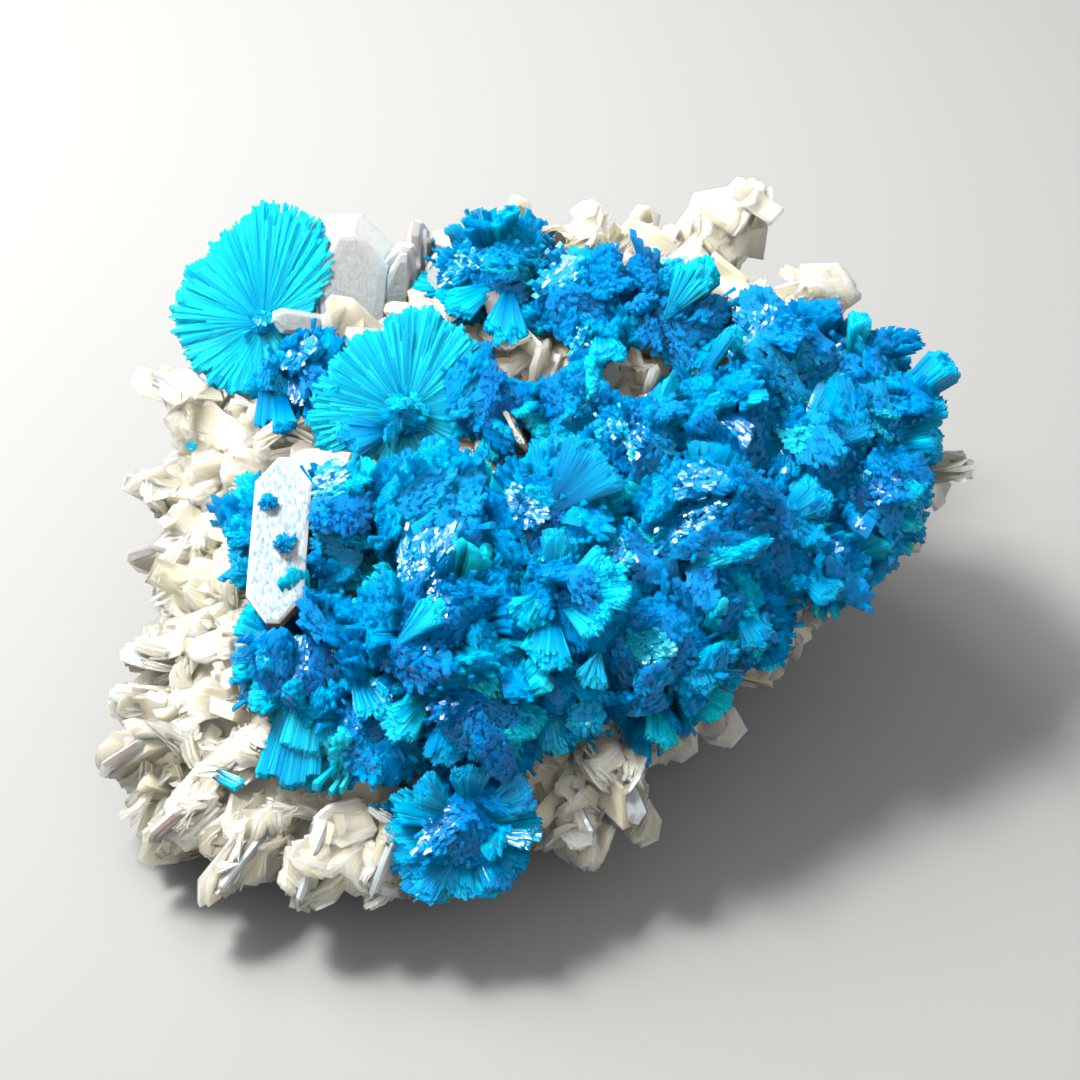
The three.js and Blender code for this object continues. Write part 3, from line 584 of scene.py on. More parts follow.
def burst(heart, radius, lean, own, rng, bundles=20, spacing=0.31, tones=(0.05, 0.6)):
    """A dome of laths spacing mm apart at its surface, coarser than real ones so that a whole crust can
    be meshed. own is the rosette's number, so that it isn't its own neighbour."""
    axes, widthways, through = bundle_axes(lean, bundles, rng)
    ends = unit(axes + rng.uniform(-0.32, 0.32, (bundles, 3)))
    facing_lamp = axes @ SPARK > SPARKLING["facing"]
    sparkling = facing_lamp & (rng.uniform(0, 1, bundles) < SPARKLING["share"])
    ends[sparkling] = unit(SPARK + rng.normal(0, 0.03, (bundles, 3)))[sparkling]
    lengths = radius * rng.uniform(0.72, 1.08, bundles)
    bundle_tones = rng.uniform(*tones, bundles) + 0.3 * (rng.uniform(0, 1, bundles) < 0.15)  # a few pale
    shape = int(rng.integers(1 << 30))
    layers = []
    for step, share in ((spacing, 1), (2.6 * spacing, 0.95)):  # the second closes the gaps between laths
        count = int(2 * math.pi * radius ** 2 / step ** 2)
        directions = unit(dome_directions(lean, count, 86, rng) + rng.normal(0, 0.012, (count, 3)))
        offsets = directions[:, None] - axes
        apart = np.hypot(np.sum(offsets * widthways, axis=2) / 1.5,
                         np.sum(offsets * through, axis=2) / 0.75)
        apart = apart + 9 * (directions @ axes.T < 0.5)
        mine = np.argmin(apart, axis=1)
        nearest, second = np.partition(apart, 1, axis=1)[:, :2].T
        edge = nearest / second  # 1 where two bundles meet
        slope = np.maximum(np.sum(ends[mine] * directions, axis=1), 0.6)
        flat_end = np.sum(ends * axes, axis=1)[mine] / slope
        reach = share * lengths[mine] * flat_end * swelling(directions, np.random.default_rng(shape))
        reach = np.minimum(reach, MESHED * free_lengths(heart, radius, directions, own))
        single = rng.exponential(0.4, count) * (rng.uniform(0, 1, count) < LONE_LATHS * (share == 1))
        reach = reach * (1 - 0.1 * edge ** 8) + rng.normal(0, 0.08, count) + single
        tips = heart + directions * reach[:, None]
        shown = np.array([depth_in_block(tip) < SUNK for tip in tips]) & (reach > 0.35 * radius)
        shown = shown & (directions @ unit([*lean, 1.0]) > (-1 if share == 1 else 0.3))
        shown = shown & ~in_window(tips) & ~over_tablet(tips)
        sides = widthways[mine] + rng.normal(0, 0.15, (count, 3))
        sizes = step * rng.uniform(0.9, 1.4, (count, 2)) * [1.3, 0.85] * (reach / radius)[:, None]
        normals = ends[mine] + rng.normal(0, 0.09, (count, 3))
        slants = cap_slants(directions, sides, sizes[:, 0], sizes[:, 1], normals)
        laths = lath_corners(heart + HIDDEN * (tips - heart), tips, sides, sizes[:, 0], sizes[:, 1], slants)
        tone = bundle_tones[mine] + 0.2 * edge ** 4 + rng.normal(0, 0.05, count)
        layers.append((laths[shown], tone[shown]))
    return layers


axes = bundle_axes((0, 0), 20, np.random.default_rng(2))[0]
facing = int((axes @ SPARK > SPARKLING["facing"]).sum())
print("of an upright dome's 20 bundles,", facing, "point near SPARK, and about a fifth of those glint")

# %% [markdown]
# ## Petals
# Broad flat bundles splay out of the lower edge of a dome. Each lies with its width along the edge,
# and one that would lie in the block, in a neighbour or across a gap is left out.

# %% Build the domed rosettes
def petals(heart, radius, lean, own, rng, count=14):
    """Broad flat bundles that splay out of the lower edge of a dome."""
    axis = unit([lean[0], lean[1], 1.0])
    rim = rng.permutation(dome_directions(lean, 3 * count, 108, rng)[count:])[:count]
    wanted = radius * rng.uniform(1.02, 1.3, count)
    lengths = np.minimum(wanted, MESHED * free_lengths(heart, radius, rim, own))
    sheaves = []
    for direction, length, share in zip(rim, lengths, lengths / wanted):
        tip = heart + direction * length
        buried = depth_in_block(heart + direction * 0.85 * length) > PETAL_SUNK
        if length < 0.4 * radius or buried or in_window(tip[None])[0]:
            continue
        wide = radius * rng.uniform(0.35, 0.6) * share
        roll = roll_towards(direction, np.cross(axis, direction)) + rng.normal(0, 0.5)
        laths = sheaf(heart, direction, length, wide, wide * rng.uniform(0.2, 0.35), roll, rng,
                      gather=0.14, start=0.25)
        sheaves.append(toned(laths, 0.5, 0.95, rng))
    return sheaves


def domed_rosette(heart, radius, lean, own, rng):
    heart = np.array(heart, float)
    return burst(heart, radius, lean, own, rng) + petals(heart, radius, lean, own, rng)


crust = []  # (corners, tones) of every sheaf
for number, (heart, radius, lean) in enumerate(ROSETTES):
    crust += domed_rosette(heart, radius, lean, number, np.random.default_rng(300 + number))
print(len(ROSETTES), "rosettes with", sum(len(laths) for laths, _ in crust), "laths")

# %% [markdown]
# ## Disc rosettes
# Two rosettes had room on one side only and grew as flat discs, like a fan and a flower seen from
# above. Thousands of fine laths lie in the disc side by side, which gives the silky radial lines. They
# stopped growing in groups, so the rim is cut into teeth. A low dome of laths covers the heart.

# %% Build the disc rosettes
def disc_laths(heart, lean, rim, teeth, count, rng):
    """rim lists how far the disc reaches: pairs of degrees, anticlockwise from its right, and mm."""
    axis = unit([lean[0], lean[1], 1.0])
    side, front = across(axis)
    turn = rng.uniform(0, 2 * math.pi, count)
    edges = np.sort(rng.uniform(0, 2 * math.pi, teeth))
    tooth = np.searchsorted(edges, turn)
    start = np.concatenate([[edges[-1] - 2 * math.pi], edges])[tooth]
    end = np.concatenate([edges, [edges[0] + 2 * math.pi]])[tooth]
    into = 2 * (turn - start) / (end - start) - 1
    degrees, reaches = np.array(rim, float).T
    reach = np.interp(np.degrees(turn), degrees, reaches)
    reach = reach * rng.uniform(0.86, 1.04, teeth)[tooth % teeth] * (1 - 0.06 * into ** 2)
    inner = rng.uniform(0, 1, count) < 0.4
    reach = reach * np.where(inner, rng.uniform(0.45, 0.96, count), rng.uniform(0.96, 1.02, count))
    lift = rng.uniform(-0.015, 0.015, teeth)[tooth % teeth] + rng.normal(0, 0.014, count)
    direction = unit(np.cos(turn)[:, None] * side + np.sin(turn)[:, None] * front + lift[:, None] * axis)
    twist = rng.normal(0, 0.3, count)[:, None]
    sides = np.cross(axis, direction) * np.cos(twist) + axis * np.sin(twist)
    roots = np.array(heart) + rng.uniform(-0.5, 0.5, count)[:, None] * axis
    widths = rng.uniform(0.22, 0.4, count) * np.sqrt(reach / 10)
    slants = rng.uniform(-0.1, 0.1, (count, 2))
    return lath_corners(roots, roots + direction * reach[:, None], sides, widths, 0.6 * widths, slants)


def disc_sheaves(heart, radius, lean, rim, teeth, count, core, own, rng):
    heart = np.array(heart, float)
    sheaves = [toned(disc_laths(heart, lean, rim, teeth, count // 6, rng), 0.76, 1, rng) for _ in range(6)]
    return sheaves + burst(heart, core * radius, lean, own, rng, spacing=0.2, tones=(0.4, 0.7))


for name, disc, teeth, core, own in (
        ("rosette_fan", FAN, 34, 0.14, len(ROSETTES)),
        ("rosette_centre", CENTRE, 30, 0.26, len(ROSETTES) + 1)):
    rng = np.random.default_rng(own)
    sheaves = disc_sheaves(teeth=teeth, count=4200, core=core, own=own, rng=rng, **disc)
    crust += sheaves
    print(name, "has", sum(len(laths) for laths, _ in sheaves), "laths")

# %% [markdown]
# ## Brushes and splayed fans
# Bundles that had room grew on past their rosette. Brushes are nearly parallel laths with blunt stepped
# ends. Splayed fans are flat and open, and show the bright turquoise of their broad sides. Each row holds
# root, tip and width.

# %% Build the brushes and the fans
BRUSHES = [
    ((-21.5, -18.5, 19), (-23.2, -25.8, 11.8), 6), ((-20.5, -18, 20), (-21.6, -24.4, 14.6), 4.6),
    ((34, 6.5, 29), (39.8, 8.5, 34), 3.6), ((33.5, 5, 28), (39.2, 5.6, 31), 3.2),
    ((33, 4, 27), (38.6, 2.6, 29), 3), ((30.6, 11.8, 31), (31.6, 13.4, 35.8), 3),
    ((15, 8.5, 30), (18.9, 11, 36), 1.5), ((13.5, 18.5, 31), (17, 19.8, 37.5), 3.2),
    ((-27.5, 15, 28), (-27.4, 9.5, 24.5), 2.6), ((-26.2, 11.4, 27.2), (-25.2, 6.1, 27.3), 2.2),
    ((8.2, 2.9, 30.2), (13.5, 7.8, 31), 2.8), ((24.9, 0.5, 30), (28.6, 6.8, 32.6), 2.6),
]
FANS = [
    ((0.8, -6.4, 28), (5.9, -2.7, 32), 7), ((0.9, -6, 28), (1.3, 1.5, 30.5), 4.4),
    ((1.5, -14.9, 25.5), (8, -16.4, 28.7), 4.5), ((1.5, -14.6, 26), (6.5, -14.5, 29.9), 3.6),
    ((1.5, -15.2, 25.5), (5.9, -19.7, 26.9), 4), ((0.9, -14.8, 25), (0.5, -22.3, 24.3), 4.4),
    ((0.5, -14, 25.2), (-2, -18.8, 26.6), 3.2), ((1.1, -14.2, 26), (1.9, -10, 29), 3.5),
    ((-6.4, -22.2, 20), (0, -25.4, 19), 3.8), ((-7.8, -21.4, 19.5), (-8.8, -27.8, 17.4), 3.6),
    ((-9.1, -21.3, 20.6), (-13.7, -26.4, 19.6), 3.8), ((-5.4, -22.8, 20.5), (-4.8, -28.1, 18), 3.2),
    ((3.2, -20.2, 19.6), (4.7, -24.8, 18.4), 3.2), ((0.5, -20.8, 19.2), (1.8, -26, 16.6), 3.2),
    ((27.7, 0.2, 30), (31.5, 2.3, 31.9), 3), ((22.3, -6, 26), (26.8, -4.6, 29.4), 4),
    ((13.5, -11.4, 25), (17.5, -10.3, 28), 3.8), ((33.1, 3.2, 27), (34.5, -4.6, 27.6), 4.6),
    ((33.5, 4.3, 28), (39.3, 3.8, 26.7), 4), ((12.4, 15, 34), (15.9, 18.4, 38), 4),
    ((-4.1, 22.3, 33), (-9.1, 17.7, 33.1), 4), ((-3.1, 22.2, 33), (-3.5, 14.5, 31.6), 4.4),
    ((6, 16.3, 33), (6.9, 9.8, 33), 3.6), ((-25.5, 0.6, 22), (-29.8, 0.9, 24.6), 3.6),
    ((-25.5, -3.9, 22), (-30, -4.3, 23.8), 3.4), ((-25.2, -7.6, 20.5), (-29.6, -8, 21.6), 3),
    ((-14.4, 6.9, 26.6), (-19.4, 5.1, 27), 4.4), ((-21.2, -19.4, 19), (-25.6, -18.6, 22.6), 3.6),
    ((-22.4, -19.4, 17), (-26.5, -21.6, 19), 3.2), ((-13, -21, 25.5), (-8.9, -19.6, 29.6), 3.2),
    ((-17.6, -18.4, 20.7), (-14.6, -24.8, 20.4), 3.6), ((9.3, -16.8, 21.6), (10.5, -22.5, 21.4), 3.6),
    ((5.4, -20.3, 24), (4.5, -23, 22.4), 3), ((18.3, -13.2, 22), (20.6, -17, 21.2), 3.6),
    ((23.7, -8.9, 23.4), (27.6, -12.4, 23), 3.8), ((13.9, -17.4, 21.6), (15.4, -21, 19.4), 3.4),
]
TINY = [((-25.7, -5.2, 28.2), 0.9), ((-24, -9, 26.4), 1.3)]  # small rosettes on the tablet


def brush(root, tip, width, rng, gather=0.5):
    root, tip = np.array(root, float), np.array(tip, float)
    length = np.linalg.norm(tip - root)
    return sheaf(root, unit(tip - root), length, width, 0.6 * width, 0.0, rng, gather=gather, step=0.06)


def splayed_fan(root, tip, width, rng):
    root, tip = np.array(root, float), np.array(tip, float)
    direction, length = unit(tip - root), np.linalg.norm(tip - root)
    facing = unit(np.array([0, -0.4, 0.9]) + rng.normal(0, 0.15, 3))
    roll = roll_towards(direction, np.cross(facing, direction))
    return sheaf(root, direction, length, width, 0.26 * width, roll, rng, gather=0.08, bow=0.12, step=0.09)


rng = np.random.default_rng(61)
bundles = [toned(brush(*row, rng), 0.4, 0.85, rng) for row in BRUSHES]
bundles += [toned(splayed_fan(*row, rng), 0.45, 0.85, rng) for row in FANS]
for heart, reach in TINY:
    for direction in dome_directions((0, -0.5), 18, 80, rng):
        tip = np.array(heart) + direction * reach * rng.uniform(0.7, 1.1)
        bundles.append(toned(brush(heart, tip, 0.6, rng, gather=0.3), 0.2, 0.7, rng))
crust += bundles
print(len(bundles), "brushes and fans have", sum(len(laths) for laths, _ in bundles), "laths")

# %% [markdown]
# ## The crust in strips
# The sheaves of the whole crust, sorted from left to right, go into a few meshes that lie side by side.
# A renderer finds its way through them faster than through many meshes that overlap.

# %% Make the strips
STRIP_LATHS = 27000
order = np.argsort([laths[:, 1:, 0].mean() for laths, _ in crust])
strips = np.cumsum([len(crust[i][0]) for i in order]) // STRIP_LATHS
for strip in range(strips.max() + 1):
    mine = [crust[i] for i in order[strips == strip]]
    made = lath_piece(f"crust_strip_{strip}", mine, replaces="cavansite_crust")
    print(made.name, "has", len(made.data.polygons) // len(LATH_FACES), "laths")

# %% [markdown]
# ## The rosette at the foot
# It stands alone below the crust and is more open than the others: a star of splayed fans round a
# small dome.

# %% Build the front rosette
FRONT_FANS = [
    ((-6.8, -31, 11), (-13.6, -32.8, 12), 4.2), ((-6.8, -31.5, 11), (-12, -35.6, 9.4), 5.6),
    ((-6.6, -31.5, 10.5), (-7.9, -36.4, 9.2), 3.6), ((-6.4, -31.5, 11), (-2.4, -35.2, 9.6), 4.8),
    ((-5.9, -31, 11.5), (0, -31.8, 12.6), 3.8), ((-5.9, -30.5, 12.5), (-1, -29.8, 16), 3.4),
    ((-6.5, -30, 12.8), (-6.3, -28.4, 17.6), 3.6), ((-7.2, -30.6, 13), (-10.8, -30, 16.8), 3.4),
    ((-7, -31, 12), (-13.2, -30.2, 14.4), 3.2), ((-6.4, -31.5, 11), (-4.6, -36, 8.6), 3),
]
rng = np.random.default_rng(71)
foot = domed_rosette(FRONT[0], 0.72 * FRONT[1], FRONT[2], len(RADII) - 1, rng)
foot += [toned(splayed_fan(*row, rng), 0.4, 0.8, rng) for row in FRONT_FANS]
made = lath_piece("rosette_front", foot, replaces="cavansite_front_rosette")
print("front rosette has", len(made.data.polygons) // len(LATH_FACES), "laths")

# %% [markdown]
# ## Loose needles
# Two short bundles broke off and lie among the blades.

# %% Build the needles
NEEDLES = {
    "cavansite_needle_front": ((-31.6, -23.2, 10.9), (-28.1, -25.2, 10.6), 1.3),
    "cavansite_needle_left": ((-36.4, 10.8, 21.2), (-35.3, 10.2, 21.2), 0.9),
}
for node, row in NEEDLES.items():
    rng = np.random.default_rng(81)
    laths = brush(*row, rng, gather=0.8)
    made = lath_piece(node.replace("cavansite_", "loose_"), [toned(laths, 0.7, 0.9, rng)], replaces=node)
    print(made.name, "has", len(made.data.polygons) // len(LATH_FACES), "laths")

# %% [markdown]
# ## Stilbite
# A zeolite that grows as thin tablets with a pearly face. In mass it is cream and milky, because
# light is scattered between the blades, while a single blade is nearly clear with a bright edge. That
# bright edge is a painted highlight: the bevels are painted whiter than the faces. Each blade has its
# own tone between cream and white. Fine ripples, drawn coarser than the real growth lines, break up
# the reflections.

# %% The stilbite material
def rippled(material, size, strength):
    """The relief of ripples about size mm apart."""
    place = add(material, "ShaderNodeTexCoord").outputs["Object"]
    ripple = add(material, "ShaderNodeTexNoise", values={"Scale": scale_for(size), "Detail": 3},
                 links={"Vector": place})
    relief = add(material, "ShaderNodeBump", values={"Strength": strength, "Distance": 0.0002},
                 links={"Height": ripple.outputs["Fac"]})
    return relief.outputs["Normal"]


def make_stilbite():
    """The milky mass of the block."""
    made = new_material("stilbite_milky_zeolite")
    place = add(made, "ShaderNodeTexCoord").outputs["Object"]
    cloud = add(made, "ShaderNodeTexNoise", values={"Scale": scale_for(4), "Detail": 4},
                links={"Vector": place})
    colour = ramp(made, cloud.outputs["Fac"], [(0.3, "#f4e8c4"), (0.7, "#fcf3da")])
    pearl = add(made, "ShaderNodeBsdfPrincipled", {"subsurface_method": "BURLEY"}, {
        "Roughness": 0.22, "IOR": 1.5, "Subsurface Weight": 0.9, "Subsurface Scale": 0.002,
        "Subsurface Radius": (1.0, 0.95, 0.8)}, {"Base Color": colour, "Normal": rippled(made, 2, 1.0)})
    return finish_material(made, pearl)


STRIA_SPACING = 2 / 7  # mm; sideways is in mm too; real striae are finer


def make_blades():
    """Thin blades: milky with a little clearness, striated along their length, their edges painted white as
    a highlight.
    """
    made = new_material("stilbite_striated_blades")
    tone, cap, sideways = [
        add(made, "ShaderNodeAttribute", {"attribute_name": name}).outputs["Fac"]
        for name in ("tone", "cap", "sideways")]
    striae = add(made, "ShaderNodeTexNoise", {"noise_dimensions": "1D"},
                 {"Scale": 1 / STRIA_SPACING, "Detail": 3, "Roughness": 0.7}, {"W": sideways})
    milky = ramp(made, tone, [(0, "#f8ecc6"), (1, "#fef5dc")])
    white = ramp(made, tone, [(0, "#fef8e4"), (1, "#fffdf4")])
    lines = add(made, "ShaderNodeMapRange", values={"From Min": 0.5, "From Max": 0.66},
                links={"Value": striae.outputs["Fac"]})
    faces = blend_colours(made, lines.outputs["Result"], milky, white)
    relief = add(made, "ShaderNodeBump", values={"Strength": 0.35, "Distance": 0.0002},
                 links={"Height": striae.outputs["Fac"]})
    # the bevels are painted white: a painted highlight on the edges of each blade
    pearl = add(made, "ShaderNodeBsdfPrincipled", {"subsurface_method": "BURLEY"}, {
        "Roughness": 0.2, "IOR": 1.5, "Transmission Weight": 0.25, "Subsurface Weight": 1.0,
        "Subsurface Scale": 0.006, "Subsurface Radius": (1.0, 0.95, 0.8)},
        {"Base Color": blend_colours(made, cap, faces, white), "Normal": relief.outputs["Normal"]})
    return finish_material(made, pearl)


striated = make_blades()
stilbite = make_stilbite()
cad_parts["stilbite_matrix"].data.materials.clear()
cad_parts["stilbite_matrix"].data.materials.append(stilbite)

# %% [markdown]
# ## The blade
# A stilbite blade is a long tablet with a slanting or blunt end. Its rim is bevelled, and the narrow
# bevels catch the light as bright lines round each face; the material also paints them white, a
# painted highlight. The blade is an outline of six corners in its middle plane and the same outline,
# drawn in a little and raised, once or more on each side. More than one step gives the growth lines
# that run parallel to the edge of a large crystal.

# %% A bevelled blade
def blade_pattern(steps):
    """Faces, along and cap of a blade of 6 + 12 * steps corners."""
    upper = [list(range(6))] + [[6 + 12 * k + i for i in range(6)] for k in range(steps)]
    lower = [list(range(6))] + [[12 + 12 * k + i for i in range(6)] for k in range(steps)]
    faces, cap = [tuple(upper[-1]), tuple(reversed(lower[-1]))], [0, 0]
    for k in range(steps):
        for i in range(6):
            j = (i + 1) % 6
            faces.append((upper[k][i], upper[k][j], upper[k + 1][j], upper[k + 1][i]))
            faces.append((lower[k][j], lower[k][i], lower[k + 1][i], lower[k + 1][j]))
            cap += [0 if i == 0 else 1] * 2
    return faces, [0, 0, 0.7, 1, 1, 0.7] * (1 + 2 * steps), cap


def blade_corners(roots, alongs, sides, lengths, widths, thicks, rng, steps, blunt):
    """steps lists how far each outline is drawn in, in thicknesses, and how high it is raised. blunt is
    the least and most width of the end, as a share of the blade's."""
    along = unit(alongs)
    side = unit(sides - np.sum(sides * along, axis=1, keepdims=True) * along)
    face = np.cross(side, along)
    half, long, thick = [values[:, None] for values in (widths / 2, lengths, thicks)]
    bevel = np.minimum(widths * rng.uniform(0.25, 0.6, len(widths)), 0.7 * lengths)[:, None]
    lean = rng.uniform(-0.5, 0.5, len(widths))[:, None]
    flat = rng.uniform(*blunt, len(widths))[:, None]
    outline = [(-0.85 * half, 0 * long), (0.85 * half, 0 * long), (half, long - bevel),
               ((lean + flat) * half * 0.8, long), ((lean - flat) * half * 0.8, long),
               (-half, long - 0.8 * bevel)]

    def ring(inset, raised):
        rows = []
        for sideways, forward in outline:
            inward = np.sign(sideways) * np.minimum(inset * thick, 0.6 * np.abs(sideways))
            shorter = (forward > 0) * inset * thick
            rows.append(roots + side * (sideways - inward) + along * (forward - shorter)
                        + face * raised * thick / 2)
        return rows

    corners = ring(0, 0)
    for inset, raised in steps:
        corners += ring(inset, -raised) + ring(inset, raised)
    return np.stack(corners, axis=1)


def blade_piece(name, corners, material, rng, steps=1, replaces=None, slot="stilbite"):
    faces, along, cap = blade_pattern(steps)
    mesh = crystal_mesh(name, corners, faces, rng.uniform(0, 0.999, len(corners)), along, cap)
    side = unit(corners[:, 1] - corners[:, 0])
    sideways = np.einsum("ijk,ik->ij", corners - corners[:, :1], side)
    sideways = sideways + rng.uniform(0, 90, len(corners))[:, None]  # so no two blades share their striae
    store(mesh, "sideways", "POINT", sideways.ravel())
    return add_piece(name, mesh, material, slot=slot, replaces=replaces)


print("a blade with 4 growth steps has", len(blade_pattern(4)[0]), "faces")

# %% [markdown]
# ## Blades on the block
# Small blades stand on the block in sheaves, with bare block between some of them: the blades of one
# share their width direction and open like the pages of a book. Seeded random spots on the block's own
# surface tell where it is, and averaging over a few millimetres gives a calm direction outwards. The
# blades lean away from the middle of the block, so mostly their broad faces show, with the edges as
# fine lines.

# %% Spots on the block
def surface_spots(node, count, rng):
    """Random spots, evenly spread by area, with the surface's direction there."""
    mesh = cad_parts[node].data
    mesh.calc_loop_triangles()
    corners = np.array([[mesh.vertices[i].co for i in t.vertices] for t in mesh.loop_triangles]) / MM
    normals = np.cross(corners[:, 1] - corners[:, 0], corners[:, 2] - corners[:, 0])
    areas = np.linalg.norm(normals, axis=1)
    chosen = rng.choice(len(areas), count, p=areas / areas.sum())
    a, b = rng.uniform(0, 1, (2, count))
    a, b = np.where(a + b > 1, 1 - a, a)[:, None], np.where(a + b > 1, 1 - b, b)[:, None]
    first, second, third = corners[chosen].transpose(1, 0, 2)
    return first + a * (second - first) + b * (third - first), unit(normals[chosen])


def calm_directions(spots, normals, near=4.5):
    tree = KDTree(len(spots))
    for number, spot in enumerate(spots):
        tree.insert(spot, number)
    tree.balance()
    return np.array([unit(normals[[i for _, i, _ in tree.find_range(spot, near)]].mean(axis=0) + 1e-6)
                     for spot in spots])


def is_bare(spots, share=0.85):
    apart = np.linalg.norm(spots[:, None, :] - HEARTS[None], axis=2)
    return ((apart > share * RADII).all(axis=1) | in_window(spots)) & (spots[:, 2] > 1.5)


rng = np.random.default_rng(90)
spots, normals = surface_spots("stilbite_matrix", 6000, rng)
outward = calm_directions(spots, normals)
bare = is_bare(spots)
print(int(bare.sum()), "of", len(spots), "spots on the block are bare")

# %% [markdown]
# ## Sheaves of blades
# Two sizes are grown over the bare part of the block: some broad blades and many more narrow ones. They
# start inside the block, so only their outer part shows.

# %% Grow the blades
def small_blades(pages, width, thick, length, sunk, count, rng):
    chosen = np.flatnonzero(bare)[:count]
    where, out = spots[chosen], outward[chosen]
    away = np.stack([where[:, 0], where[:, 1] - 5, 0 * where[:, 0]], axis=1)
    away = unit(unit(away) + rng.normal(0, 0.6, (count, 3)))
    growth = unit(0.5 * out + 1.0 * away)
    broad = out - np.sum(out * growth, axis=1, keepdims=True) * growth
    broad = unit(broad + rng.normal(0, 0.2, (count, 3)))
    broad = unit(broad - np.sum(broad * growth, axis=1, keepdims=True) * growth)
    widthways = np.cross(broad, growth)
    corners = []
    for page in range(pages):
        turn = np.radians(rng.uniform(-3, 3, count) + 16 * (page / (pages - 1) - 0.5))[:, None]
        along = growth * np.cos(turn) + broad * np.sin(turn)
        lengths = rng.uniform(*length, count)
        apart = broad * (0.9 * (page - pages / 2) * np.mean(thick))
        roots = where + apart - along * (sunk * lengths)[:, None]
        sides = widthways + rng.normal(0, 0.12, (count, 3))
        corners.append(blade_corners(roots, along, sides, lengths, rng.uniform(*width, count),
                                     rng.uniform(*thick, count), rng, ((0.8, 1.0),), (0.2, 0.7)))
    made = np.concatenate(corners)
    return made[(made[:, :, 2].min(axis=1) > 0.05) & inside_box(made, 1.8)]


BLADE_SETS = {  # sizes in mm; sunk is the share of a blade that lies in the block
    "stilbite_blades_large": {"pages": 3, "width": (2.6, 5), "thick": (0.25, 0.5), "length": (4, 7),
                              "sunk": 0.62, "count": 420},
    "stilbite_blades_small": {"pages": 4, "width": (1.4, 3.6), "thick": (0.12, 0.3), "length": (3, 5),
                              "sunk": 0.72, "count": 1500},
}
for seed, (name, sizes) in enumerate(BLADE_SETS.items(), start=92):
    rng = np.random.default_rng(seed)
    made = blade_piece(name, small_blades(rng=rng, **sizes), striated, rng)
    print(name, "has", len(made.data.polygons) // len(blade_pattern(1)[0]), "blades")

# %% [markdown]
# ## Clear stilbite
# Where a blade grew alone it is clearer than the mass, though fine cracks and growth lines cloud it. So
# the material is half glass, with stilbite's index of refraction, and half milk, with pale streaks and a
# fine ripple. It shows best in the cluster at the back and the large crystals along the edges.

# %% The clear material
STREAK_WIDTH = 0.3125  # mm, across the streaks; they are 2.5 times as long


def make_frosted(name, dull, clearness):
    """Clear stilbite clouded by fine cracks and growth lines; its bevels are painted white as a highlight.
    """
    made = new_material(name)
    place = add(made, "ShaderNodeTexCoord").outputs["Object"]
    mapped = add(made, "ShaderNodeMapping", values={"Scale": (1, 0.4, 0.4)}, links={"Vector": place})
    streaks = add(made, "ShaderNodeTexNoise",
                  values={"Scale": scale_for(STREAK_WIDTH), "Detail": 5, "Roughness": 0.7},
                  links={"Vector": mapped.outputs["Vector"]})
    colour = ramp(made, streaks.outputs["Fac"], [(0.38, dull), (0.6, "#ffffff")])
    cap = add(made, "ShaderNodeAttribute", {"attribute_name": "cap"}).outputs["Fac"]
    # the bevels are painted white: a painted highlight on the edges
    glass = add(made, "ShaderNodeBsdfPrincipled", values={
        "Roughness": 0.2, "IOR": 1.5, "Transmission Weight": clearness, "Subsurface Weight": 0.5,
        "Subsurface Scale": 0.002},
        links={"Base Color": blend_colours(made, cap, colour, "#ffffff"),
               "Normal": rippled(made, 2 / 3, 0.5)})
    return finish_material(made, glass)


frosted_tablet = make_frosted("stilbite_frosted", "#8fbfd6", 0.25)
frosted_clear = make_frosted("stilbite_half_clear", "#e2e8e4", 0.5)

# %% [markdown]
# ## Large blades
# Large crystals have places of their own: half clear ones along the left and front edges and in the
# cluster at the back left, and milky ones in the two gaps of the crust. The cluster's crystals are
# clearer outside than within, so four of its five have a smaller milky body inside.

# %% Large blades along the edges
EDGE_BLADES = [  # root, bearing, rise and roll in degrees, then length, width and thickness
    ((-33, 15.5, 19), 160, 35, 60, (9.6, 6, 1.2)), ((-35.5, 8.5, 13.5), 172, 25, 70, (8.6, 5.6, 1.2)),
    ((-37, 2, 12), 178, 20, 80, (5.6, 5.5, 1.1)), ((-36, -8, 9.5), 188, 15, 20, (6, 6, 1)),
    ((-35, -13, 8.5), 182, 12, 5, (7.4, 2.8, 1.2)), ((-36, -19, 8), 205, 10, 75, (6.6, 7.2, 1.4)),
    ((-32, -25, 7), 222, 4, 70, (6.2, 7, 1.3)), ((-26, -28, 7), 240, -2, 60, (7.4, 6, 1.3)),
    ((-20, -29, 8), 255, -4, 80, (7.6, 7, 1.4)), ((-14, -29, 9), 262, 0, 70, (7.2, 7.4, 1.5)),
    ((2, -25, 9), 292, -12, 75, (7.4, 5.4, 1.2)), ((4, -22, 12), 303, -8, 70, (9.4, 5.6, 1.6)),
]
CLEAR_CLUSTER = [
    ((-19.2, 19.5, 27.5), 92, 45, 0, (13.2, 10.4, 3.2)), ((-15.5, 21, 28), 80, 50, 25, (9, 5, 2.6)),
    ((-11.5, 21.5, 28), 70, 45, -15, (8, 4.5, 2.4)), ((-12.5, 26, 28.5), 92, 60, 60, (8, 3.4, 2.4)),
    ((-18.6, 19.4, 29), 180, 10, -45, (9, 2.6, 0.8)),
]
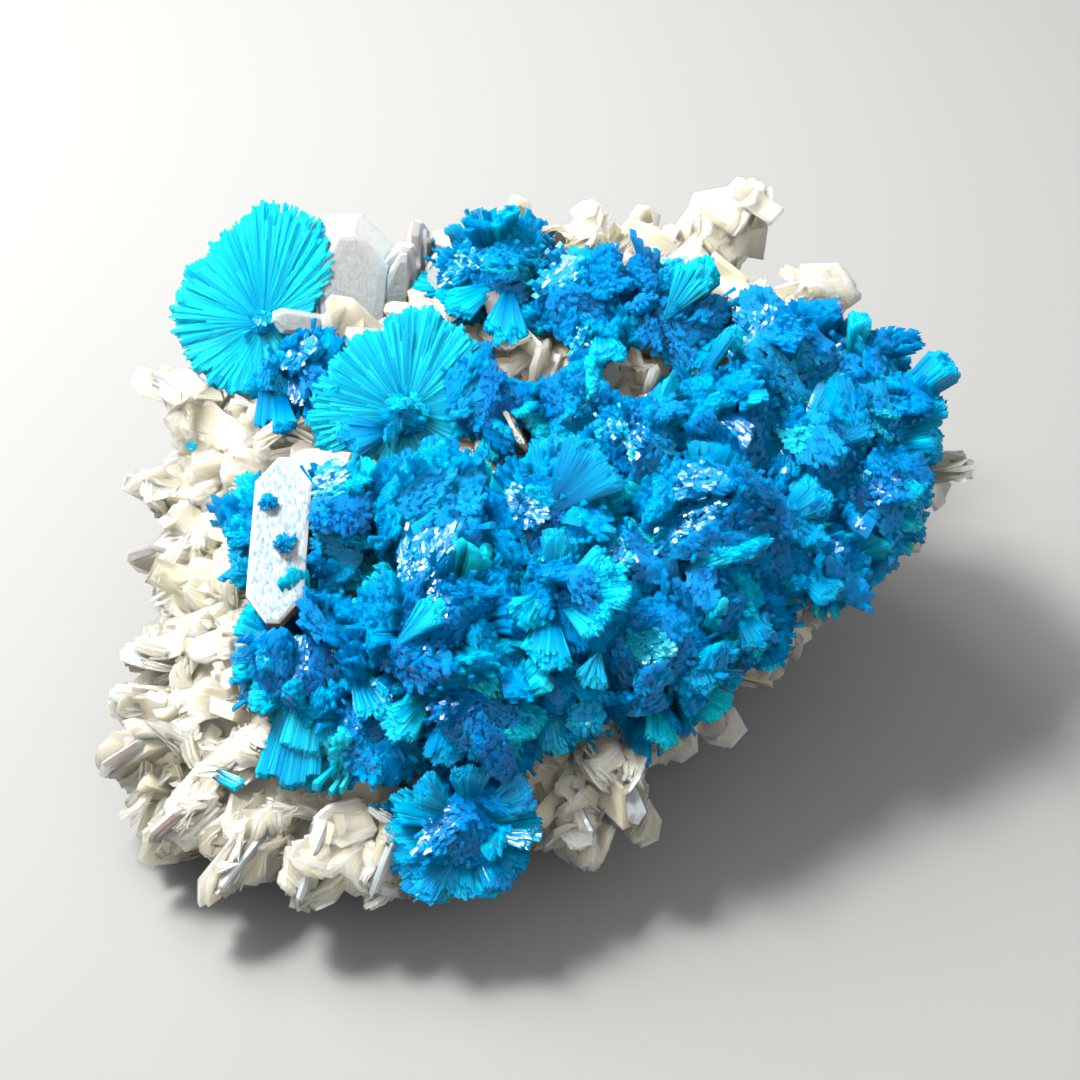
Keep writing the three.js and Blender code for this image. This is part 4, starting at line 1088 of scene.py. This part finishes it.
WINDOW_BLADES = [
    ((-3, 13, 25), 95, 62, 20, (6.4, 3.6, 0.7)), ((-0.5, 12.4, 25), 70, 66, -30, (6.6, 3.8, 0.7)),
    ((1.2, 13.4, 25), 100, 58, 70, (6.2, 3.4, 0.6)), ((-1.4, 14.4, 26), 85, 70, 50, (6, 3.6, 0.6)),
    ((8, 10.2, 25), 95, 62, 10, (6.2, 3.6, 0.7)), ((10.4, 9.6, 25), 60, 66, -25, (6.4, 3.8, 0.7)),
    ((12, 11, 25), 100, 58, 60, (5.8, 3.4, 0.6)), ((9.4, 11.6, 26), 80, 70, 40, (5.8, 3.2, 0.6)),
]


def heading(bearing, rise):
    turn, up = math.radians(bearing), math.radians(rise)
    return np.array([math.cos(up) * math.cos(turn), math.cos(up) * math.sin(turn), math.sin(up)])


def named_blades(rows, rng, steps, shrink=1.0):
    """The blades of a list; shrink makes the milky bodies that lie inside them."""
    alongs = np.array([heading(bearing, rise) for _, bearing, rise, _, _ in rows])
    sides = np.array([across(along, math.radians(row[3]))[0] for along, row in zip(alongs, rows)])
    lengths, widths, thicks = np.array([row[4] for row in rows], float).T * shrink
    roots = np.array([row[0] for row in rows], float)
    return blade_corners(roots, alongs, sides, lengths, widths, thicks, rng, steps, blunt=(0.35, 0.5))


GROWTH_STEPS = ((0.18, 0.5), (0.42, 0.62), (0.5, 0.9), (0.8, 1.0))
rng = np.random.default_rng(95)
edge_blades = named_blades(EDGE_BLADES, rng, GROWTH_STEPS)
blade_piece("edge_blades", edge_blades, frosted_clear, rng, steps=4, slot="stilbite_clear")
cluster = named_blades(CLEAR_CLUSTER, np.random.default_rng(96), GROWTH_STEPS)
blade_piece("clear_cluster", cluster, frosted_clear, rng, steps=4, slot="stilbite_clear",
            replaces="stilbite_clear_cluster")
milky = named_blades(CLEAR_CLUSTER[:4], np.random.default_rng(96), ((0.3, 1.0),), shrink=0.8)
blade_piece("clear_cluster_milky_hearts", milky, striated, rng, replaces="stilbite_clear_cluster")
window_blades = named_blades(WINDOW_BLADES, rng, ((0.35, 1.0),))
blade_piece("blades_in_the_gaps", window_blades, striated, rng)
print(len(edge_blades), "half clear blades along the edges and", len(cluster), "in the cluster")

# %% [markdown]
# ## The loose tablet
# One crystal with both ends grown lies on the crust. It is frosted all through by fine cracks and
# growth lines along its length, and a few tiny blue crystals sit on it.

# %% Build the tablet
def tablet_corners(tips, width, thick, arrow):
    top, bottom = np.array(tips[0], float), np.array(tips[1], float)
    length = np.linalg.norm(top - bottom)
    along = unit(top - bottom)
    side, face = across(along)
    outline = [(-0.5, arrow), (-0.12, 0), (0.12, 0), (0.5, arrow),
               (0.5, length - arrow), (0.12, length), (-0.12, length), (-0.5, length - arrow)]
    rings = []
    for inset, raised in ((0, 0), (0.0, 0.8), (0.35, 1.0)):
        for sign in ((1, -1) if raised else (1,)):
            for sideways, forward in outline:
                middle = forward - length / 2
                rings.append(bottom + side * sideways * (width - 2 * inset)
                             + along * (length / 2 + middle * (1 - 2 * inset / length))
                             + face * sign * raised * thick / 2)
    return np.array(rings)[None]


def tablet_pattern():
    """Five outlines of eight corners: the middle, two that carry the straight sides, and two faces."""
    rings = {"middle": list(range(8)), "up": list(range(8, 16)), "down": list(range(16, 24)),
             "top": list(range(24, 32)), "base": list(range(32, 40))}
    faces, cap = [tuple(rings["top"]), tuple(reversed(rings["base"]))], [0, 0]
    for low, high, is_cap, turn in (("middle", "up", 0, 1), ("up", "top", 1, 1),
                                    ("middle", "down", 0, -1), ("down", "base", 1, -1)):
        for i in range(8):
            first, second = (i, (i + 1) % 8)[::turn]
            faces.append((rings[low][first], rings[low][second], rings[high][second], rings[high][first]))
            cap.append(is_cap)
    return faces, cap


tablet_faces, tablet_cap = tablet_pattern()
corners = tablet_corners(**TABLET)
along = [0.5] * corners.shape[1]
tablet_mesh = crystal_mesh("tablet", corners, tablet_faces, np.array([0.5]), along, tablet_cap)
add_piece("tablet", tablet_mesh, frosted_tablet, replaces="stilbite_tablet", slot="stilbite_clear")
print("tablet", [round(size, 1) for size in np.ptp(corners[0], axis=0)], "mm")

# %% [markdown]
# ## Sizes
# The boxes of the imported model and of the finished piece are printed side by side, with the
# count of triangles.

# %% Print the sizes
corners = {"cad": [list(c) for c in cad_box], "visual": [list(c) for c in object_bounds()]}
for side in range(3):
    print("xyz"[side], *[round(corners[k][end][side] / MM, 1) for k in corners for end in (0, 1)])
triangles = {o.name: sum(len(p.vertices) - 2 for p in o.data.polygons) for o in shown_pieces()}
print("triangles:", sum(triangles.values()), "most in one piece:", max(triangles.values()))
